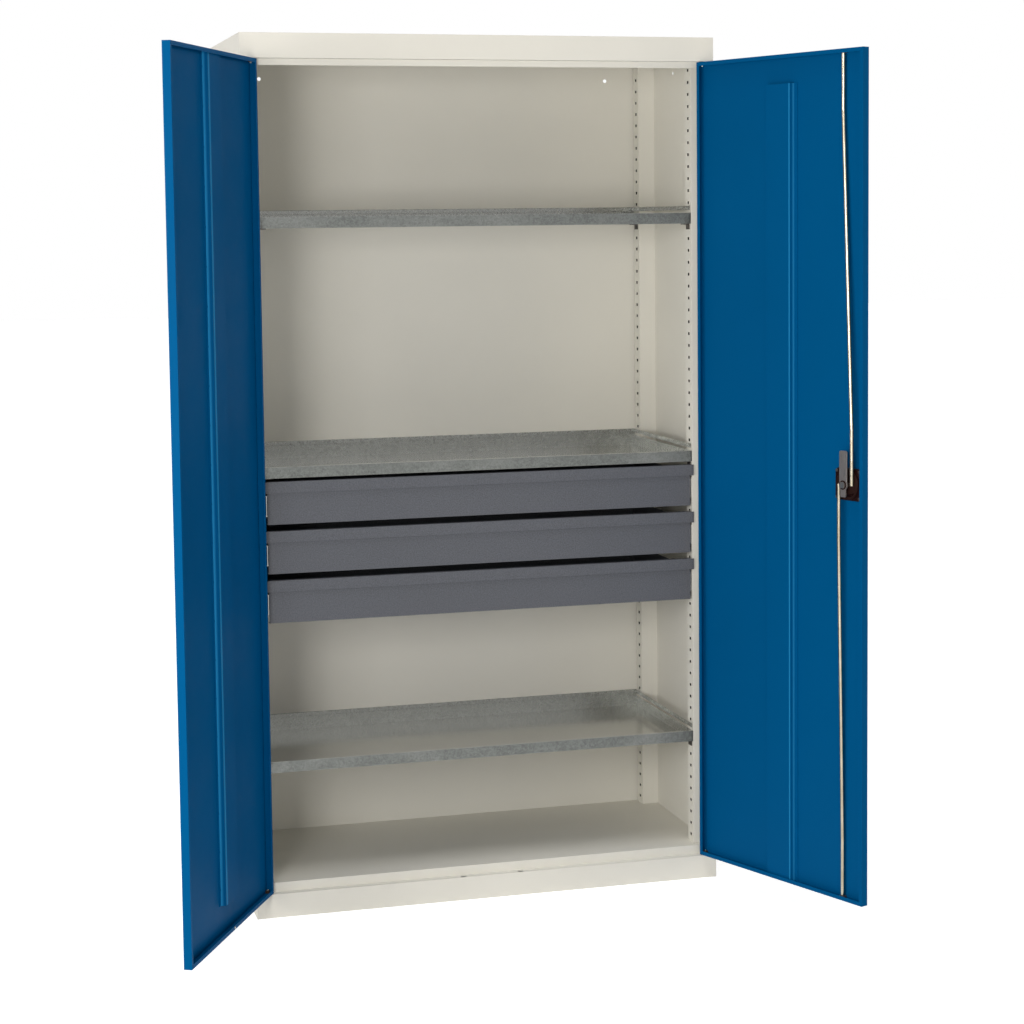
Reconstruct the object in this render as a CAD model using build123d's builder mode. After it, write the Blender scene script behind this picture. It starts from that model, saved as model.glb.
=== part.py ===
from build123d import *
import math
import os

# Steel tool cabinet with two hinged doors, three shelf trays and three drawers.
# Millimetres. +Z is up, +X is to the right of someone who faces the doors, and the
# doors are at -Y. The origin is on the floor, in the middle of the carcass footprint.

# ---- driving dimensions: carcass ------------------------------------------------
WIDTH = 1000.0
DEPTH = 420.0
HEIGHT = 1800.0
SHEET = 1.2
HEADER_HEIGHT = 50.0
PLINTH_HEIGHT = 49.0
FLOOR_LIP_HEIGHT = 19.0
STOP_STRIP_HEIGHT = 13.0
STILE_WIDTH = 13.3
STILE_LIP = 14.0
REAR_FLANGE = 18.0
CORNER_RELIEF = 0.6
WALL_HOLE_RADIUS = 4.0
WALL_HOLE_SPACING = 790.0
WALL_HOLE_DROP = 65.0
LINK_HOLE_DEPTH = 250.0
LINK_HOLE_DROP = 58.0

# ---- driving dimensions: doors ----------------------------------------------------
DOOR_THICKNESS = 16.0
DOOR_RETURN = 8.0
DOOR_GAP = 1.5
PIVOT_TO_STILE = 9.2
PIVOT_TO_HINGE_EDGE = 6.0
PIVOT_SETBACK = 5.0
SWING_GAP = 0.5
PIVOT_PIN_RADIUS = 2.5
PIN_REACH = 9.0
BUSH_SIDE = 7.4
BUSH_FLANGE_SIDE = 9.2
BUSH_LENGTH = 7.0
BUSH_PLAY = 0.1
RUNNING_CLEARANCE = 0.05
LEFT_DOOR_REST_ANGLE = 117.5
RIGHT_DOOR_REST_ANGLE = 111.5
STIFFENER_CROWN = 68.0
STIFFENER_HEIGHT = 9.0
STIFFENER_FLANGE = 9.0
STIFFENER_SLOPE = 3.0
STIFFENER_SHORT_END = 57.0

# ---- driving dimensions: lock and rods ----------------------------------------------
LOCK_HEIGHT = 893.5
LOCK_TO_FREE_EDGE = 44.0
HOUSING_WIDTH = 72.0
HOUSING_HEIGHT = 64.0
HOUSING_THICKNESS = 10.0
HOUSING_CORNER = 9.0
HOUSING_CHAMFER = 2.0
SPINDLE_RADIUS = 5.0
SPINDLE_SQUARE = 8.0
SPINDLE_HOLE_MARGIN = 1.0
CAM_RADIUS = 30.0
CAM_THICKNESS = 2.5
CAM_GAP = 0.4
PIN_OFFSET = 17.5
PIN_START_HEIGHT = 3.0
PIN_RADIUS = 2.5
PIN_SLOT_CLEARANCE = 0.15
ROD_RADIUS = 4.0
ROD_TRAVEL = 14.0
ROD_TO_FREE_EDGE = 60.5
ROD_END_SETBACK = 7.5
ROD_END_SHORTFALL = 3.5
ROD_GAP = 0.3
ROD_HOLE_HALF_LENGTH = 6.5
ROD_HOLE_MARGIN = 0.6
ROD_BEND_START = 110.0
ROD_BEND_END = 120.0
GUIDE_CLEARANCE = 0.3
GUIDE_WALL = 1.3
GUIDE_FLANGE_WIDTH = 2.2
GUIDE_LENGTH = 8.0
GUIDE_FLANGE = 2.0
LOCK_TURN = 90.0
HOOK_WIDTH = 20.0
HOOK_REACH = 68.0
HOOK_TAIL = 24.0
HOOK_TAIL_WIDTH = 14.0
HOOK_THICKNESS = 2.5
HOOK_HUB_RADIUS = 11.0
HOOK_CORNER = 4.0
HOOK_TAIL_CORNER = 3.0
BOLT_SHANK_RADIUS = 2.5
BOLT_SHANK_LENGTH = 8.0
BOLT_HEAD_RADIUS = 6.5
BOLT_HEAD_HEIGHT = 3.6
KNOB_LENGTH = 74.0
KNOB_WIDTH = 16.0
KNOB_STAND_OFF = 24.0
KNOB_GAP = 0.3
KNOB_HUB_RADIUS = 13.0
KNOB_GRIP_THICKNESS = 11.0
KNOB_CHAMFER = 2.0
SPINDLE_GRIP = 10.0
ROSETTE_SIDE = 44.0
ROSETTE_CORNER = 6.0
ROSETTE_THICKNESS = 5.0
ROSETTE_CHAMFER = 1.5
CYLINDER_RADIUS = 7.0
CYLINDER_DEPTH = 6.0
CYLINDER_PROUD = 0.8
KEY_SLOT_WIDTH = 1.8
KEY_SLOT_LENGTH = 7.0
KEY_SLOT_DEPTH = 3.0

# ---- driving dimensions: posts, shelves ----------------------------------------------
POST_SHEET = 1.2
POST_WIDTH = 37.3
POST_DEPTH = 35.0
FRONT_POST_SETBACK = 34.0
REAR_POST_GAP = 4.6
SLOT_PITCH = 25.4
SLOT_LENGTH = 10.0
SLOT_HEIGHT = 6.0
TOP_SLOT_DROP = 65.0
LOWEST_SLOT_RISE = 12.0
SHELF_LIP = 23.0
SHELF_REAR_RISE = 15.0
SHELF_SIDE_GAP = 1.0
SHELF_HEM = 7.0
CLIP_WIDTH = 18.0
CLIP_REACH = 14.0
CLIP_THICKNESS = 2.0
CLIP_DROP = 6.2
TONGUE_PLAY = 1.0
TONGUE_TAIL = 1.0
UPPER_SHELF_SLOT = 13
MIDDLE_SHELF_SLOT = 33
LOWER_SHELF_SLOT = 57

# ---- driving dimensions: drawers -------------------------------------------------------
DRAWER_SHEET = 1.0
FIRST_RAIL_SLOT = 35
RAIL_SLOT_STEP = 4
DRAWER_COUNT = 3
DRAWER_BACK_GAP = 28.4
DRAWER_SIDE_HEIGHT = 68.0
BOX_LIFT = 4.0
FRONT_HEIGHT = 88.0
FRONT_TOP_ABOVE_RAIL = 50.0
FRONT_SIDE_GAP = 4.5
FRONT_RETURN = 14.0
GRIP_HEIGHT = 23.0
GRIP_STEP = 5.0
GRIP_OVERHANG = 6.5
DRAWER_FRONT_SETBACK = 36.0
RAIL_SETBACK = 38.0
RAIL_BACK_GAP = 11.6
RAIL_SHEET = 1.2
RAIL_HEIGHT = 42.0
RAIL_GAP = 13.5
RAIL_CLEARANCE = 0.4
RAIL_HOOK_WIDTH = 7.0
RAIL_HOOK_NECK = 2.2
RAIL_HOOK_DROP = 2.6
RAIL_WEB_CLEARANCE = 1.5

# ---- places that follow from the driving dimensions -------------------------------------
FRONT = -DEPTH / 2
BACK = DEPTH / 2
HALF = WIDTH / 2
WALL_INNER = HALF - SHEET
HEADER_BOTTOM = HEIGHT - HEADER_HEIGHT
FLOOR_TOP = PLINTH_HEIGHT + FLOOR_LIP_HEIGHT
STILE_EDGE = HALF - STILE_WIDTH
SWING_RADIUS = math.hypot(PIVOT_TO_HINGE_EDGE, DOOR_THICKNESS - PIVOT_SETBACK)
STOP_SETBACK = PIVOT_SETBACK + SWING_RADIUS + SWING_GAP
BACK_PANEL_FRONT = BACK - 2 * SHEET
PIVOT_X = STILE_EDGE - PIVOT_TO_STILE
PIVOT_Y = FRONT + PIVOT_SETBACK
DOOR_BOTTOM = PLINTH_HEIGHT + DOOR_GAP
DOOR_TOP = HEADER_BOTTOM - DOOR_GAP
FREE_EDGE = PIVOT_X - DOOR_GAP
LEAF_WIDTH = FREE_EDGE + PIVOT_TO_HINGE_EDGE
ROD_HOLE_X = ROD_TO_FREE_EDGE + DOOR_GAP
POST_FACE = WALL_INNER - POST_WIDTH
TOP_SLOT = HEIGHT - TOP_SLOT_DROP
FRONT_POST_Y = FRONT + FRONT_POST_SETBACK
REAR_POST_Y = BACK_PANEL_FRONT - REAR_POST_GAP - POST_DEPTH
SLOT_COUNT = 1 + int((TOP_SLOT - FLOOR_TOP - LOWEST_SLOT_RISE) / SLOT_PITCH)
LOCK_S = FREE_EDGE - LOCK_TO_FREE_EDGE
HOUSING_FACE = SHEET + HOUSING_THICKNESS
CAM_BACK = HOUSING_FACE + CAM_GAP
CAM_FACE = CAM_BACK + CAM_THICKNESS
ROD_AXIS = CAM_FACE + ROD_GAP + ROD_RADIUS
HOOK_BACK = ROD_AXIS + ROD_RADIUS + ROD_GAP
HOOK_FACE = HOOK_BACK + HOOK_THICKNESS
TRAVEL_PER_RADIAN = ROD_TRAVEL / math.radians(LOCK_TURN)
ROD_Y = FRONT + ROD_END_SETBACK
ROD_HOLE_HALF_WIDTH = ROD_RADIUS + ROD_HOLE_MARGIN
GUIDE_SIDE = 2 * (ROD_RADIUS + GUIDE_WALL)
GUIDE_FLANGE_SIDE = 2 * (ROD_RADIUS + GUIDE_FLANGE_WIDTH)
BUSH_FLANGE = DOOR_GAP - BUSH_PLAY
LIP_INNER_BOTTOM = DOOR_BOTTOM + SHEET
LIP_INNER_TOP = DOOR_TOP - SHEET
DRAWER_BACK_Y = BACK_PANEL_FRONT - DRAWER_BACK_GAP
RAIL_START = FRONT + RAIL_SETBACK
RAIL_LENGTH = BACK_PANEL_FRONT - RAIL_BACK_GAP - RAIL_START
SLOT_SIDES = (FRONT_POST_Y + POST_DEPTH / 2, REAR_POST_Y + POST_DEPTH / 2)

os.makedirs("parts", exist_ok=True)


def save(part, label):
    """Label a finished piece and write it as one STEP file."""
    part.label = label
    export_step(part, f"parts/{label}.step")


def folded(points, thickness):
    """Face of a folded sheet: the outer side runs through points, the metal lies to the left."""
    with BuildSketch(mode=Mode.PRIVATE) as face:
        with BuildLine():
            outer = Polyline(*points)
            offset(outer, amount=thickness, side=Side.LEFT, kind=Kind.INTERSECTION)
        make_face()
    return face.sketch


# ---- carcass ------------------------------------------------------------------------


def side_panel(side, label):
    """Side wall with its front stile, stile lip and rear flange; side is -1 left, 1 right."""
    path = [
        (STILE_EDGE, FRONT + STILE_LIP),
        (STILE_EDGE, FRONT),
        (HALF, FRONT),
        (HALF, BACK),
        (HALF - REAR_FLANGE, BACK),
    ]
    with BuildPart() as panel:
        with BuildSketch():
            add(folded(path, SHEET))
        extrude(amount=HEIGHT - SHEET)
        with BuildSketch(Plane.XY.offset(HEADER_BOTTOM)):
            with Locations((HALF, FRONT + SHEET)):
                Rectangle(STILE_WIDTH + SHEET, STILE_LIP, align=(Align.MAX, Align.MIN))
            with Locations((HALF, FRONT)):
                Rectangle(STILE_WIDTH + SHEET, SHEET, align=(Align.MAX, Align.MIN))
            with Locations((HALF, FRONT + SHEET)):
                Rectangle(SHEET, STILE_LIP, align=(Align.MAX, Align.MIN), mode=Mode.SUBTRACT)
        extrude(amount=HEADER_HEIGHT, mode=Mode.SUBTRACT)
        link = Plane(
            origin=(HALF, FRONT + LINK_HOLE_DEPTH, HEIGHT - LINK_HOLE_DROP),
            x_dir=(0, 1, 0),
            z_dir=(1, 0, 0),
        )
        with BuildSketch(link):
            Circle(WALL_HOLE_RADIUS)
        extrude(amount=-2 * SHEET, mode=Mode.SUBTRACT)
        if side < 0:
            mirror(about=Plane.YZ, mode=Mode.REPLACE)
    save(panel.part, label)


side_panel(-1, "left_side_panel")
side_panel(1, "right_side_panel")


def rod_hole(radius_x, radius_y):
    """Long hole that a rod end drops into, longer across the door than through it."""
    SlotOverall(2 * radius_x, 2 * radius_y)


with BuildPart() as top_panel:
    header_path = [
        (BACK, HEIGHT - REAR_FLANGE),
        (BACK, HEIGHT),
        (FRONT, HEIGHT),
        (FRONT, HEADER_BOTTOM),
        (FRONT + STOP_SETBACK + SHEET, HEADER_BOTTOM),
    ]
    with BuildSketch(Plane.YZ.offset(-HALF)):
        add(folded(header_path, SHEET))
        with Locations((FRONT + STOP_SETBACK, HEADER_BOTTOM - STOP_STRIP_HEIGHT)):
            Rectangle(SHEET, STOP_STRIP_HEIGHT, align=Align.MIN)
    extrude(amount=WIDTH)
    with BuildSketch(Plane.XY.offset(HEIGHT - SHEET)):
        with Locations((-HALF, FRONT + SHEET), (WALL_INNER, FRONT + SHEET)):
            Rectangle(SHEET, DEPTH, align=Align.MIN)
    extrude(amount=-HEADER_HEIGHT - STOP_STRIP_HEIGHT, mode=Mode.SUBTRACT)
    with BuildSketch(Plane.XZ.offset(-BACK)):
        for side in (-1, 1):
            with Locations((side * (HALF - REAR_FLANGE / 2), HEIGHT - SHEET)):
                Rectangle(
                    REAR_FLANGE + CORNER_RELIEF, REAR_FLANGE, align=(Align.CENTER, Align.MAX)
                )
    extrude(amount=SHEET, mode=Mode.SUBTRACT)
    with BuildSketch(Plane.XY.offset(HEADER_BOTTOM)):
        with Locations((-ROD_HOLE_X, ROD_Y), (ROD_HOLE_X, ROD_Y)):
            rod_hole(ROD_HOLE_HALF_LENGTH, ROD_HOLE_HALF_WIDTH)
    extrude(amount=SHEET, mode=Mode.SUBTRACT)
save(top_panel.part, "top_panel")

# Floor pan: raised floor, ledge in front of it and a skirt that stands on the ground all round.
with BuildPart() as floor_pan:
    with BuildSketch():
        with Locations((0, FRONT)):
            Rectangle(2 * STILE_EDGE, DEPTH / 2, align=(Align.CENTER, Align.MIN))
    extrude(amount=PLINTH_HEIGHT)
    with BuildSketch():
        with Locations((0, BACK_PANEL_FRONT)):
            Rectangle(
                2 * WALL_INNER,
                BACK_PANEL_FRONT - FRONT - STOP_SETBACK,
                align=(Align.CENTER, Align.MAX),
            )
    extrude(amount=FLOOR_TOP)
    offset(amount=-SHEET, openings=floor_pan.faces().sort_by(Axis.Z)[0])
    with BuildSketch(Plane.XY.offset(PLINTH_HEIGHT)):
        with Locations((-ROD_HOLE_X, ROD_Y), (ROD_HOLE_X, ROD_Y)):
            rod_hole(ROD_HOLE_HALF_LENGTH, ROD_HOLE_HALF_WIDTH)
    extrude(amount=-SHEET, mode=Mode.SUBTRACT)
save(floor_pan.part, "floor_pan")

with BuildPart() as back_panel:
    with BuildSketch(Plane.XZ.offset(-BACK_PANEL_FRONT)):
        with Locations((0, HEIGHT - SHEET)):
            Rectangle(2 * WALL_INNER, HEIGHT - SHEET, align=(Align.CENTER, Align.MAX))
        with Locations((0, HEIGHT - WALL_HOLE_DROP)):
            with GridLocations(WALL_HOLE_SPACING, 0, 2, 1):
                Circle(WALL_HOLE_RADIUS, mode=Mode.SUBTRACT)
    extrude(amount=-SHEET)
save(back_panel.part, "back_panel")


def slotted_post(side, near_y, label):
    """Upright channel, open towards the side wall, with a column of slots in its inner face."""
    path = [
        (WALL_INNER, near_y + POST_DEPTH),
        (POST_FACE, near_y + POST_DEPTH),
        (POST_FACE, near_y),
        (WALL_INNER, near_y),
    ]
    slots = Plane(
        origin=(POST_FACE, near_y + POST_DEPTH / 2, TOP_SLOT),
        x_dir=(0, 1, 0),
        z_dir=(1, 0, 0),
    )
    with BuildPart() as post:
        with BuildSketch(Plane.XY.offset(FLOOR_TOP)):
            add(folded(path, POST_SHEET))
        extrude(amount=HEIGHT - SHEET - FLOOR_TOP)
        with BuildSketch(slots):
            with Locations((0, -(SLOT_COUNT - 1) * SLOT_PITCH / 2)):
                with GridLocations(0, SLOT_PITCH, 1, SLOT_COUNT):
                    Rectangle(SLOT_LENGTH, SLOT_HEIGHT)
        extrude(amount=POST_SHEET, mode=Mode.SUBTRACT)
        if side < 0:
            mirror(about=Plane.YZ, mode=Mode.REPLACE)
    save(post.part, label)


slotted_post(-1, FRONT_POST_Y, "front_left_post")
slotted_post(1, FRONT_POST_Y, "front_right_post")
slotted_post(-1, REAR_POST_Y, "rear_left_post")
slotted_post(1, REAR_POST_Y, "rear_right_post")

# Pivot pins, welded to the header's underside and to the plinth ledge.
with BuildPart() as hinge_pins:
    for ledge, out in ((HEADER_BOTTOM, -1), (PLINTH_HEIGHT, 1)):
        with BuildSketch(Plane.XY.offset(ledge)):
            with Locations((-PIVOT_X, PIVOT_Y), (PIVOT_X, PIVOT_Y)):
                Circle(PIVOT_PIN_RADIUS)
        extrude(amount=out * (DOOR_GAP + PIN_REACH))
save(hinge_pins.part, "hinge_pins")

# ---- shelves ---------------------------------------------------------------------------

SHELF_HALF = POST_FACE - SHELF_SIDE_GAP
SHELF_FRONT_Y = FRONT_POST_Y
SHELF_BACK_Y = BACK_PANEL_FRONT - SHELF_SIDE_GAP


def slot_height(index):
    """Height of the middle of a post slot, counted down from the top one."""
    return TOP_SLOT - index * SLOT_PITCH


def shelf_tray(slot, label):
    """Tray shelf with a lip on every side and a taller rear upstand."""
    floor = slot_height(slot) + CLIP_DROP
    middle_y = (SHELF_FRONT_Y + SHELF_BACK_Y) / 2
    depth = SHELF_BACK_Y - SHELF_FRONT_Y
    with BuildPart() as tray:
        with BuildSketch(Plane.XY.offset(floor)):
            with Locations((0, middle_y)):
                Rectangle(2 * SHELF_HALF, depth)
        extrude(amount=SHELF_LIP)
        offset(amount=-SHEET, openings=tray.faces().sort_by(Axis.Z)[-1])
        with BuildSketch(Plane.XY.offset(floor + SHELF_LIP)):
            with Locations((0, SHELF_BACK_Y)):
                Rectangle(2 * SHELF_HALF, SHEET, align=(Align.CENTER, Align.MAX))
        extrude(amount=SHELF_REAR_RISE)
        with BuildSketch(Plane.XY.offset(floor + SHELF_LIP)):
            with Locations((0, SHELF_FRONT_Y)):
                Rectangle(2 * SHELF_HALF, SHELF_HEM, align=(Align.CENTER, Align.MIN))
        extrude(amount=-SHEET)
    save(tray.part, label)


def shelf_clips(slot, label):
    """Four clips: a ledge under the shelf, a lug against the post and a tongue in its slot."""
    ledge_top = slot_height(slot) + CLIP_DROP
    lug_bottom = slot_height(slot) - SLOT_HEIGHT
    tongue_height = SLOT_HEIGHT - TONGUE_PLAY
    path = [
        (POST_FACE - CLIP_REACH, ledge_top),
        (POST_FACE, ledge_top),
        (POST_FACE, lug_bottom),
    ]
    with BuildPart() as clips:
        for y in SLOT_SIDES:
            with BuildSketch(Plane.XZ.offset(-y)):
                with BuildLine():
                    line = Polyline(*path)
                    offset(line, amount=CLIP_THICKNESS, side=Side.RIGHT, kind=Kind.INTERSECTION)
                make_face()
            extrude(amount=CLIP_WIDTH / 2, both=True)
            with BuildSketch(Plane.XZ.offset(-y)):
                with Locations((POST_FACE - CLIP_THICKNESS / 2, slot_height(slot))):
                    Rectangle(
                        CLIP_THICKNESS / 2 + POST_SHEET + TONGUE_TAIL,
                        tongue_height,
                        align=(Align.MIN, Align.CENTER),
                    )
            extrude(amount=(SLOT_LENGTH - TONGUE_PLAY) / 2, both=True)
        mirror(about=Plane.YZ)
    save(clips.part, label)


for shelf_name, shelf_slot in (
    ("upper", UPPER_SHELF_SLOT),
    ("middle", MIDDLE_SHELF_SLOT),
    ("lower", LOWER_SHELF_SLOT),
):
    shelf_tray(shelf_slot, f"{shelf_name}_shelf")
    shelf_clips(shelf_slot, f"{shelf_name}_shelf_clips")

# ---- doors ------------------------------------------------------------------------------
# Each door is drawn on its own plane through the pivot: X runs along the leaf to the free
# edge, Z is up, and "setback" is counted from the outer face of the door inwards.


class Leaf:
    """Plane of one door at its rest angle, with helpers that place sketches on it."""

    def __init__(self, side, angle):
        turn = 180 + angle if side > 0 else -angle
        along = (math.cos(math.radians(turn)), math.sin(math.radians(turn)), 0)
        self.inward = -side
        self.base = Plane(origin=(side * PIVOT_X, PIVOT_Y, 0), x_dir=along, z_dir=(0, 0, 1))
        self.inside = self.base.y_dir * self.inward

    def level(self, z):
        """Horizontal plane at height z, with its X along the leaf."""
        return self.base.offset(z)

    def y(self, setback):
        """Local Y of a point that lies this far inside the door's outer face."""
        return self.inward * (setback - PIVOT_SETBACK)

    def face(self, setback):
        """Upright plane parallel to the leaf: X along it, Y up, normal towards the inside."""
        origin = self.base.from_local_coords(Vector(0, self.y(setback), 0))
        along = self.base.x_dir if self.inward < 0 else self.base.x_dir * -1
        return Plane(origin=origin, x_dir=along, z_dir=self.inside)

    def point(self, s, setback, z):
        """Point in space: s along the leaf, setback behind its outer face, at height z."""
        return self.base.from_local_coords(Vector(s, self.y(setback), z))

    def u(self, s):
        """X on an upright plane for a distance s along the leaf from the pivot."""
        return s if self.inward < 0 else -s


LEFT = Leaf(-1, LEFT_DOOR_REST_ANGLE)
RIGHT = Leaf(1, RIGHT_DOOR_REST_ANGLE)
LEAF_MIDDLE = (FREE_EDGE - PIVOT_TO_HINGE_EDGE) / 2
LEAF_HEIGHT = DOOR_TOP - DOOR_BOTTOM


def door_panel(leaf, label, with_lock):
    """Folded door pan: skin, four lips with a return, and holes for bushes, rods and lock."""
    with BuildPart() as panel:
        with BuildSketch(leaf.face(0)):
            with Locations((leaf.u(LEAF_MIDDLE), DOOR_BOTTOM)):
                Rectangle(LEAF_WIDTH, LEAF_HEIGHT, align=(Align.CENTER, Align.MIN))
        extrude(amount=DOOR_THICKNESS)
        open_side = panel.faces().sort_by(lambda f: f.center().dot(leaf.inside))[-1]
        offset(amount=-SHEET, openings=open_side)
        with BuildSketch(leaf.face(DOOR_THICKNESS)):
            with Locations((leaf.u(LEAF_MIDDLE), DOOR_BOTTOM + LEAF_HEIGHT / 2)):
                Rectangle(LEAF_WIDTH, LEAF_HEIGHT)
                Rectangle(
                    LEAF_WIDTH - 2 * DOOR_RETURN,
                    LEAF_HEIGHT - 2 * DOOR_RETURN,
                    mode=Mode.SUBTRACT,
                )
        extrude(amount=-SHEET)
        with BuildSketch(leaf.level(DOOR_BOTTOM)):
            Rectangle(BUSH_SIDE, BUSH_SIDE)
            if with_lock:
                with Locations((FREE_EDGE - ROD_TO_FREE_EDGE, leaf.y(ROD_END_SETBACK))):
                    Rectangle(GUIDE_SIDE, GUIDE_SIDE)
        extrude(amount=LEAF_HEIGHT, mode=Mode.SUBTRACT)
        if with_lock:
            with BuildSketch(leaf.face(0)):
                with Locations((leaf.u(LOCK_S), LOCK_HEIGHT)):
                    Circle(SPINDLE_RADIUS + SPINDLE_HOLE_MARGIN)
            extrude(amount=SHEET, mode=Mode.SUBTRACT)
    save(panel.part, label)


door_panel(LEFT, "left_door_panel", with_lock=False)
door_panel(RIGHT, "right_door_panel", with_lock=True)


def door_stiffener(leaf, low, high, label):
    """Hat section welded up the middle of the skin."""
    half_crown = STIFFENER_CROWN / 2
    half_foot = half_crown + STIFFENER_SLOPE
    half_flange = half_foot + STIFFENER_FLANGE
    foot = leaf.y(SHEET)
    crown = leaf.y(SHEET + STIFFENER_HEIGHT)
    path = [
        (LEAF_MIDDLE - half_flange, foot),
        (LEAF_MIDDLE - half_foot, foot),
        (LEAF_MIDDLE - half_crown, crown),
        (LEAF_MIDDLE + half_crown, crown),
        (LEAF_MIDDLE + half_foot, foot),
        (LEAF_MIDDLE + half_flange, foot),
    ]
    with BuildPart() as stiffener:
        with BuildSketch(leaf.level(low)):
            with BuildLine():
                line = Polyline(*path)
                side = Side.LEFT if leaf.inward > 0 else Side.RIGHT
                offset(line, amount=SHEET, side=side, kind=Kind.INTERSECTION)
            make_face()
        extrude(amount=high - low)
    save(stiffener.part, label)


door_stiffener(LEFT, LIP_INNER_BOTTOM + STIFFENER_SHORT_END, LIP_INNER_TOP, "left_door_stiffener")
door_stiffener(RIGHT, LIP_INNER_BOTTOM, LIP_INNER_TOP - STIFFENER_SHORT_END, "right_door_stiffener")

def door_bushes(leaf, label):
    """Square snap-in bushes at both pivots: flange in the door gap, body through the lip."""
    with BuildPart() as bushes:
        for edge, out in ((DOOR_TOP, 1), (DOOR_BOTTOM, -1)):
            with BuildSketch(leaf.level(edge)):
                Rectangle(BUSH_SIDE, BUSH_SIDE)
                Circle(PIVOT_PIN_RADIUS + RUNNING_CLEARANCE, mode=Mode.SUBTRACT)
            extrude(amount=-out * BUSH_LENGTH)
            with BuildSketch(leaf.level(edge)):
                Rectangle(BUSH_FLANGE_SIDE, BUSH_FLANGE_SIDE)
                Circle(PIVOT_PIN_RADIUS + RUNNING_CLEARANCE, mode=Mode.SUBTRACT)
            extrude(amount=out * (BUSH_FLANGE if out > 0 else DOOR_GAP))
    save(bushes.part, label)


door_bushes(LEFT, "left_door_bushes")
door_bushes(RIGHT, "right_door_bushes")

# ---- lock on the right door ----------------------------------------------------------------

LOCK_U = RIGHT.u(LOCK_S)

with BuildPart() as lock_housing:
    with BuildSketch(RIGHT.face(SHEET)):
        with Locations((LOCK_U, LOCK_HEIGHT)):
            RectangleRounded(HOUSING_WIDTH, HOUSING_HEIGHT, HOUSING_CORNER)
            Circle(SPINDLE_RADIUS + RUNNING_CLEARANCE, mode=Mode.SUBTRACT)
    extrude(amount=HOUSING_THICKNESS)
    lid = lock_housing.faces().sort_by(lambda f: f.center().dot(RIGHT.inside))[-1]
    chamfer(lid.outer_wire().edges(), HOUSING_CHAMFER)
save(lock_housing.part, "lock_housing")

with BuildPart() as rosette:
    with BuildSketch(RIGHT.face(0)):
        with Locations((LOCK_U, LOCK_HEIGHT)):
            RectangleRounded(ROSETTE_SIDE, ROSETTE_SIDE, ROSETTE_CORNER)
            Circle(SPINDLE_RADIUS + RUNNING_CLEARANCE, mode=Mode.SUBTRACT)
    extrude(amount=-ROSETTE_THICKNESS)
    outer_face = rosette.faces().sort_by(lambda f: f.center().dot(RIGHT.inside))[0]
    chamfer(outer_face.outer_wire().edges(), ROSETTE_CHAMFER)
save(rosette.part, "lock_rosette")

with BuildPart() as rod_guides:
    for lip, out in ((DOOR_TOP, 1), (DOOR_BOTTOM, -1)):
        for z, side, height in (
            (lip, GUIDE_SIDE, GUIDE_LENGTH),
            (lip - out * SHEET, GUIDE_FLANGE_SIDE, GUIDE_FLANGE),
        ):
            with BuildSketch(RIGHT.level(z)):
                with Locations((FREE_EDGE - ROD_TO_FREE_EDGE, RIGHT.y(ROD_END_SETBACK))):
                    Rectangle(side, side)
            extrude(amount=-out * height)
        with BuildSketch(RIGHT.level(lip)):
            with Locations((FREE_EDGE - ROD_TO_FREE_EDGE, RIGHT.y(ROD_END_SETBACK))):
                Circle(ROD_RADIUS + GUIDE_CLEARANCE)
        extrude(amount=-out * GUIDE_LENGTH, mode=Mode.SUBTRACT)
save(rod_guides.part, "rod_guides")

# Spindle: round where it turns in the rosette and the housing, square where the cam sits.
with BuildPart() as lock_spindle:
    with BuildSketch(RIGHT.face(-ROSETTE_THICKNESS - KNOB_GAP - SPINDLE_GRIP)):
        with Locations((LOCK_U, LOCK_HEIGHT)):
            Circle(SPINDLE_RADIUS)
    extrude(amount=ROSETTE_THICKNESS + KNOB_GAP + SPINDLE_GRIP + CAM_BACK)
    with BuildSketch(RIGHT.face(CAM_BACK)):
        with Locations((LOCK_U, LOCK_HEIGHT)):
            Rectangle(SPINDLE_SQUARE, SPINDLE_SQUARE)
    extrude(amount=HOOK_FACE - CAM_BACK)
    with BuildSketch(RIGHT.face(HOOK_FACE)):
        with Locations((LOCK_U, LOCK_HEIGHT)):
            Circle(BOLT_SHANK_RADIUS)
    extrude(amount=-BOLT_SHANK_LENGTH, mode=Mode.SUBTRACT)
save(lock_spindle.part, "lock_spindle")


def scroll_point(turn, shift):
    """Point of a scroll slot in the cam: where a rod pin stands after this turn, in radians.

    shift moves the point off the middle of the slot, across it. The rod pin keeps its
    distance from the spindle's axis line and rises by TRAVEL_PER_RADIAN.
    """
    rise = PIN_START_HEIGHT + TRAVEL_PER_RADIAN * turn
    cosine, sine = math.cos(turn), math.sin(turn)
    middle = Vector(PIN_OFFSET * cosine - rise * sine, PIN_OFFSET * sine + rise * cosine)
    along_x = -PIN_OFFSET * sine - rise * cosine - TRAVEL_PER_RADIAN * sine
    along_y = PIN_OFFSET * cosine - rise * sine + TRAVEL_PER_RADIAN * cosine
    along = Vector(along_x, along_y).normalized()
    return middle + Vector(-along.Y, along.X) * shift


def scroll_end(turn, reach):
    """Furthest point of the rounded end of a scroll slot."""
    ahead = scroll_point(turn, 1) - scroll_point(turn, 0)
    return scroll_point(turn, 0) + Vector(ahead.Y, -ahead.X) * reach


def placed(point, flip):
    """A cam point on the door's upright plane; flip is -1 for the slot of the lower rod."""
    return (LOCK_U + flip * point.X, LOCK_HEIGHT + flip * point.Y)


def scroll_edge(shift, flip):
    """One side of a scroll slot, as two arcs through points of the formula."""
    quarters = [placed(scroll_point(FULL_TURN * step / 4, shift), flip) for step in range(5)]
    return ThreePointArc(*quarters[:3]), ThreePointArc(*quarters[2:])


SLOT_HALF = PIN_RADIUS + PIN_SLOT_CLEARANCE
FULL_TURN = math.radians(LOCK_TURN)

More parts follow.
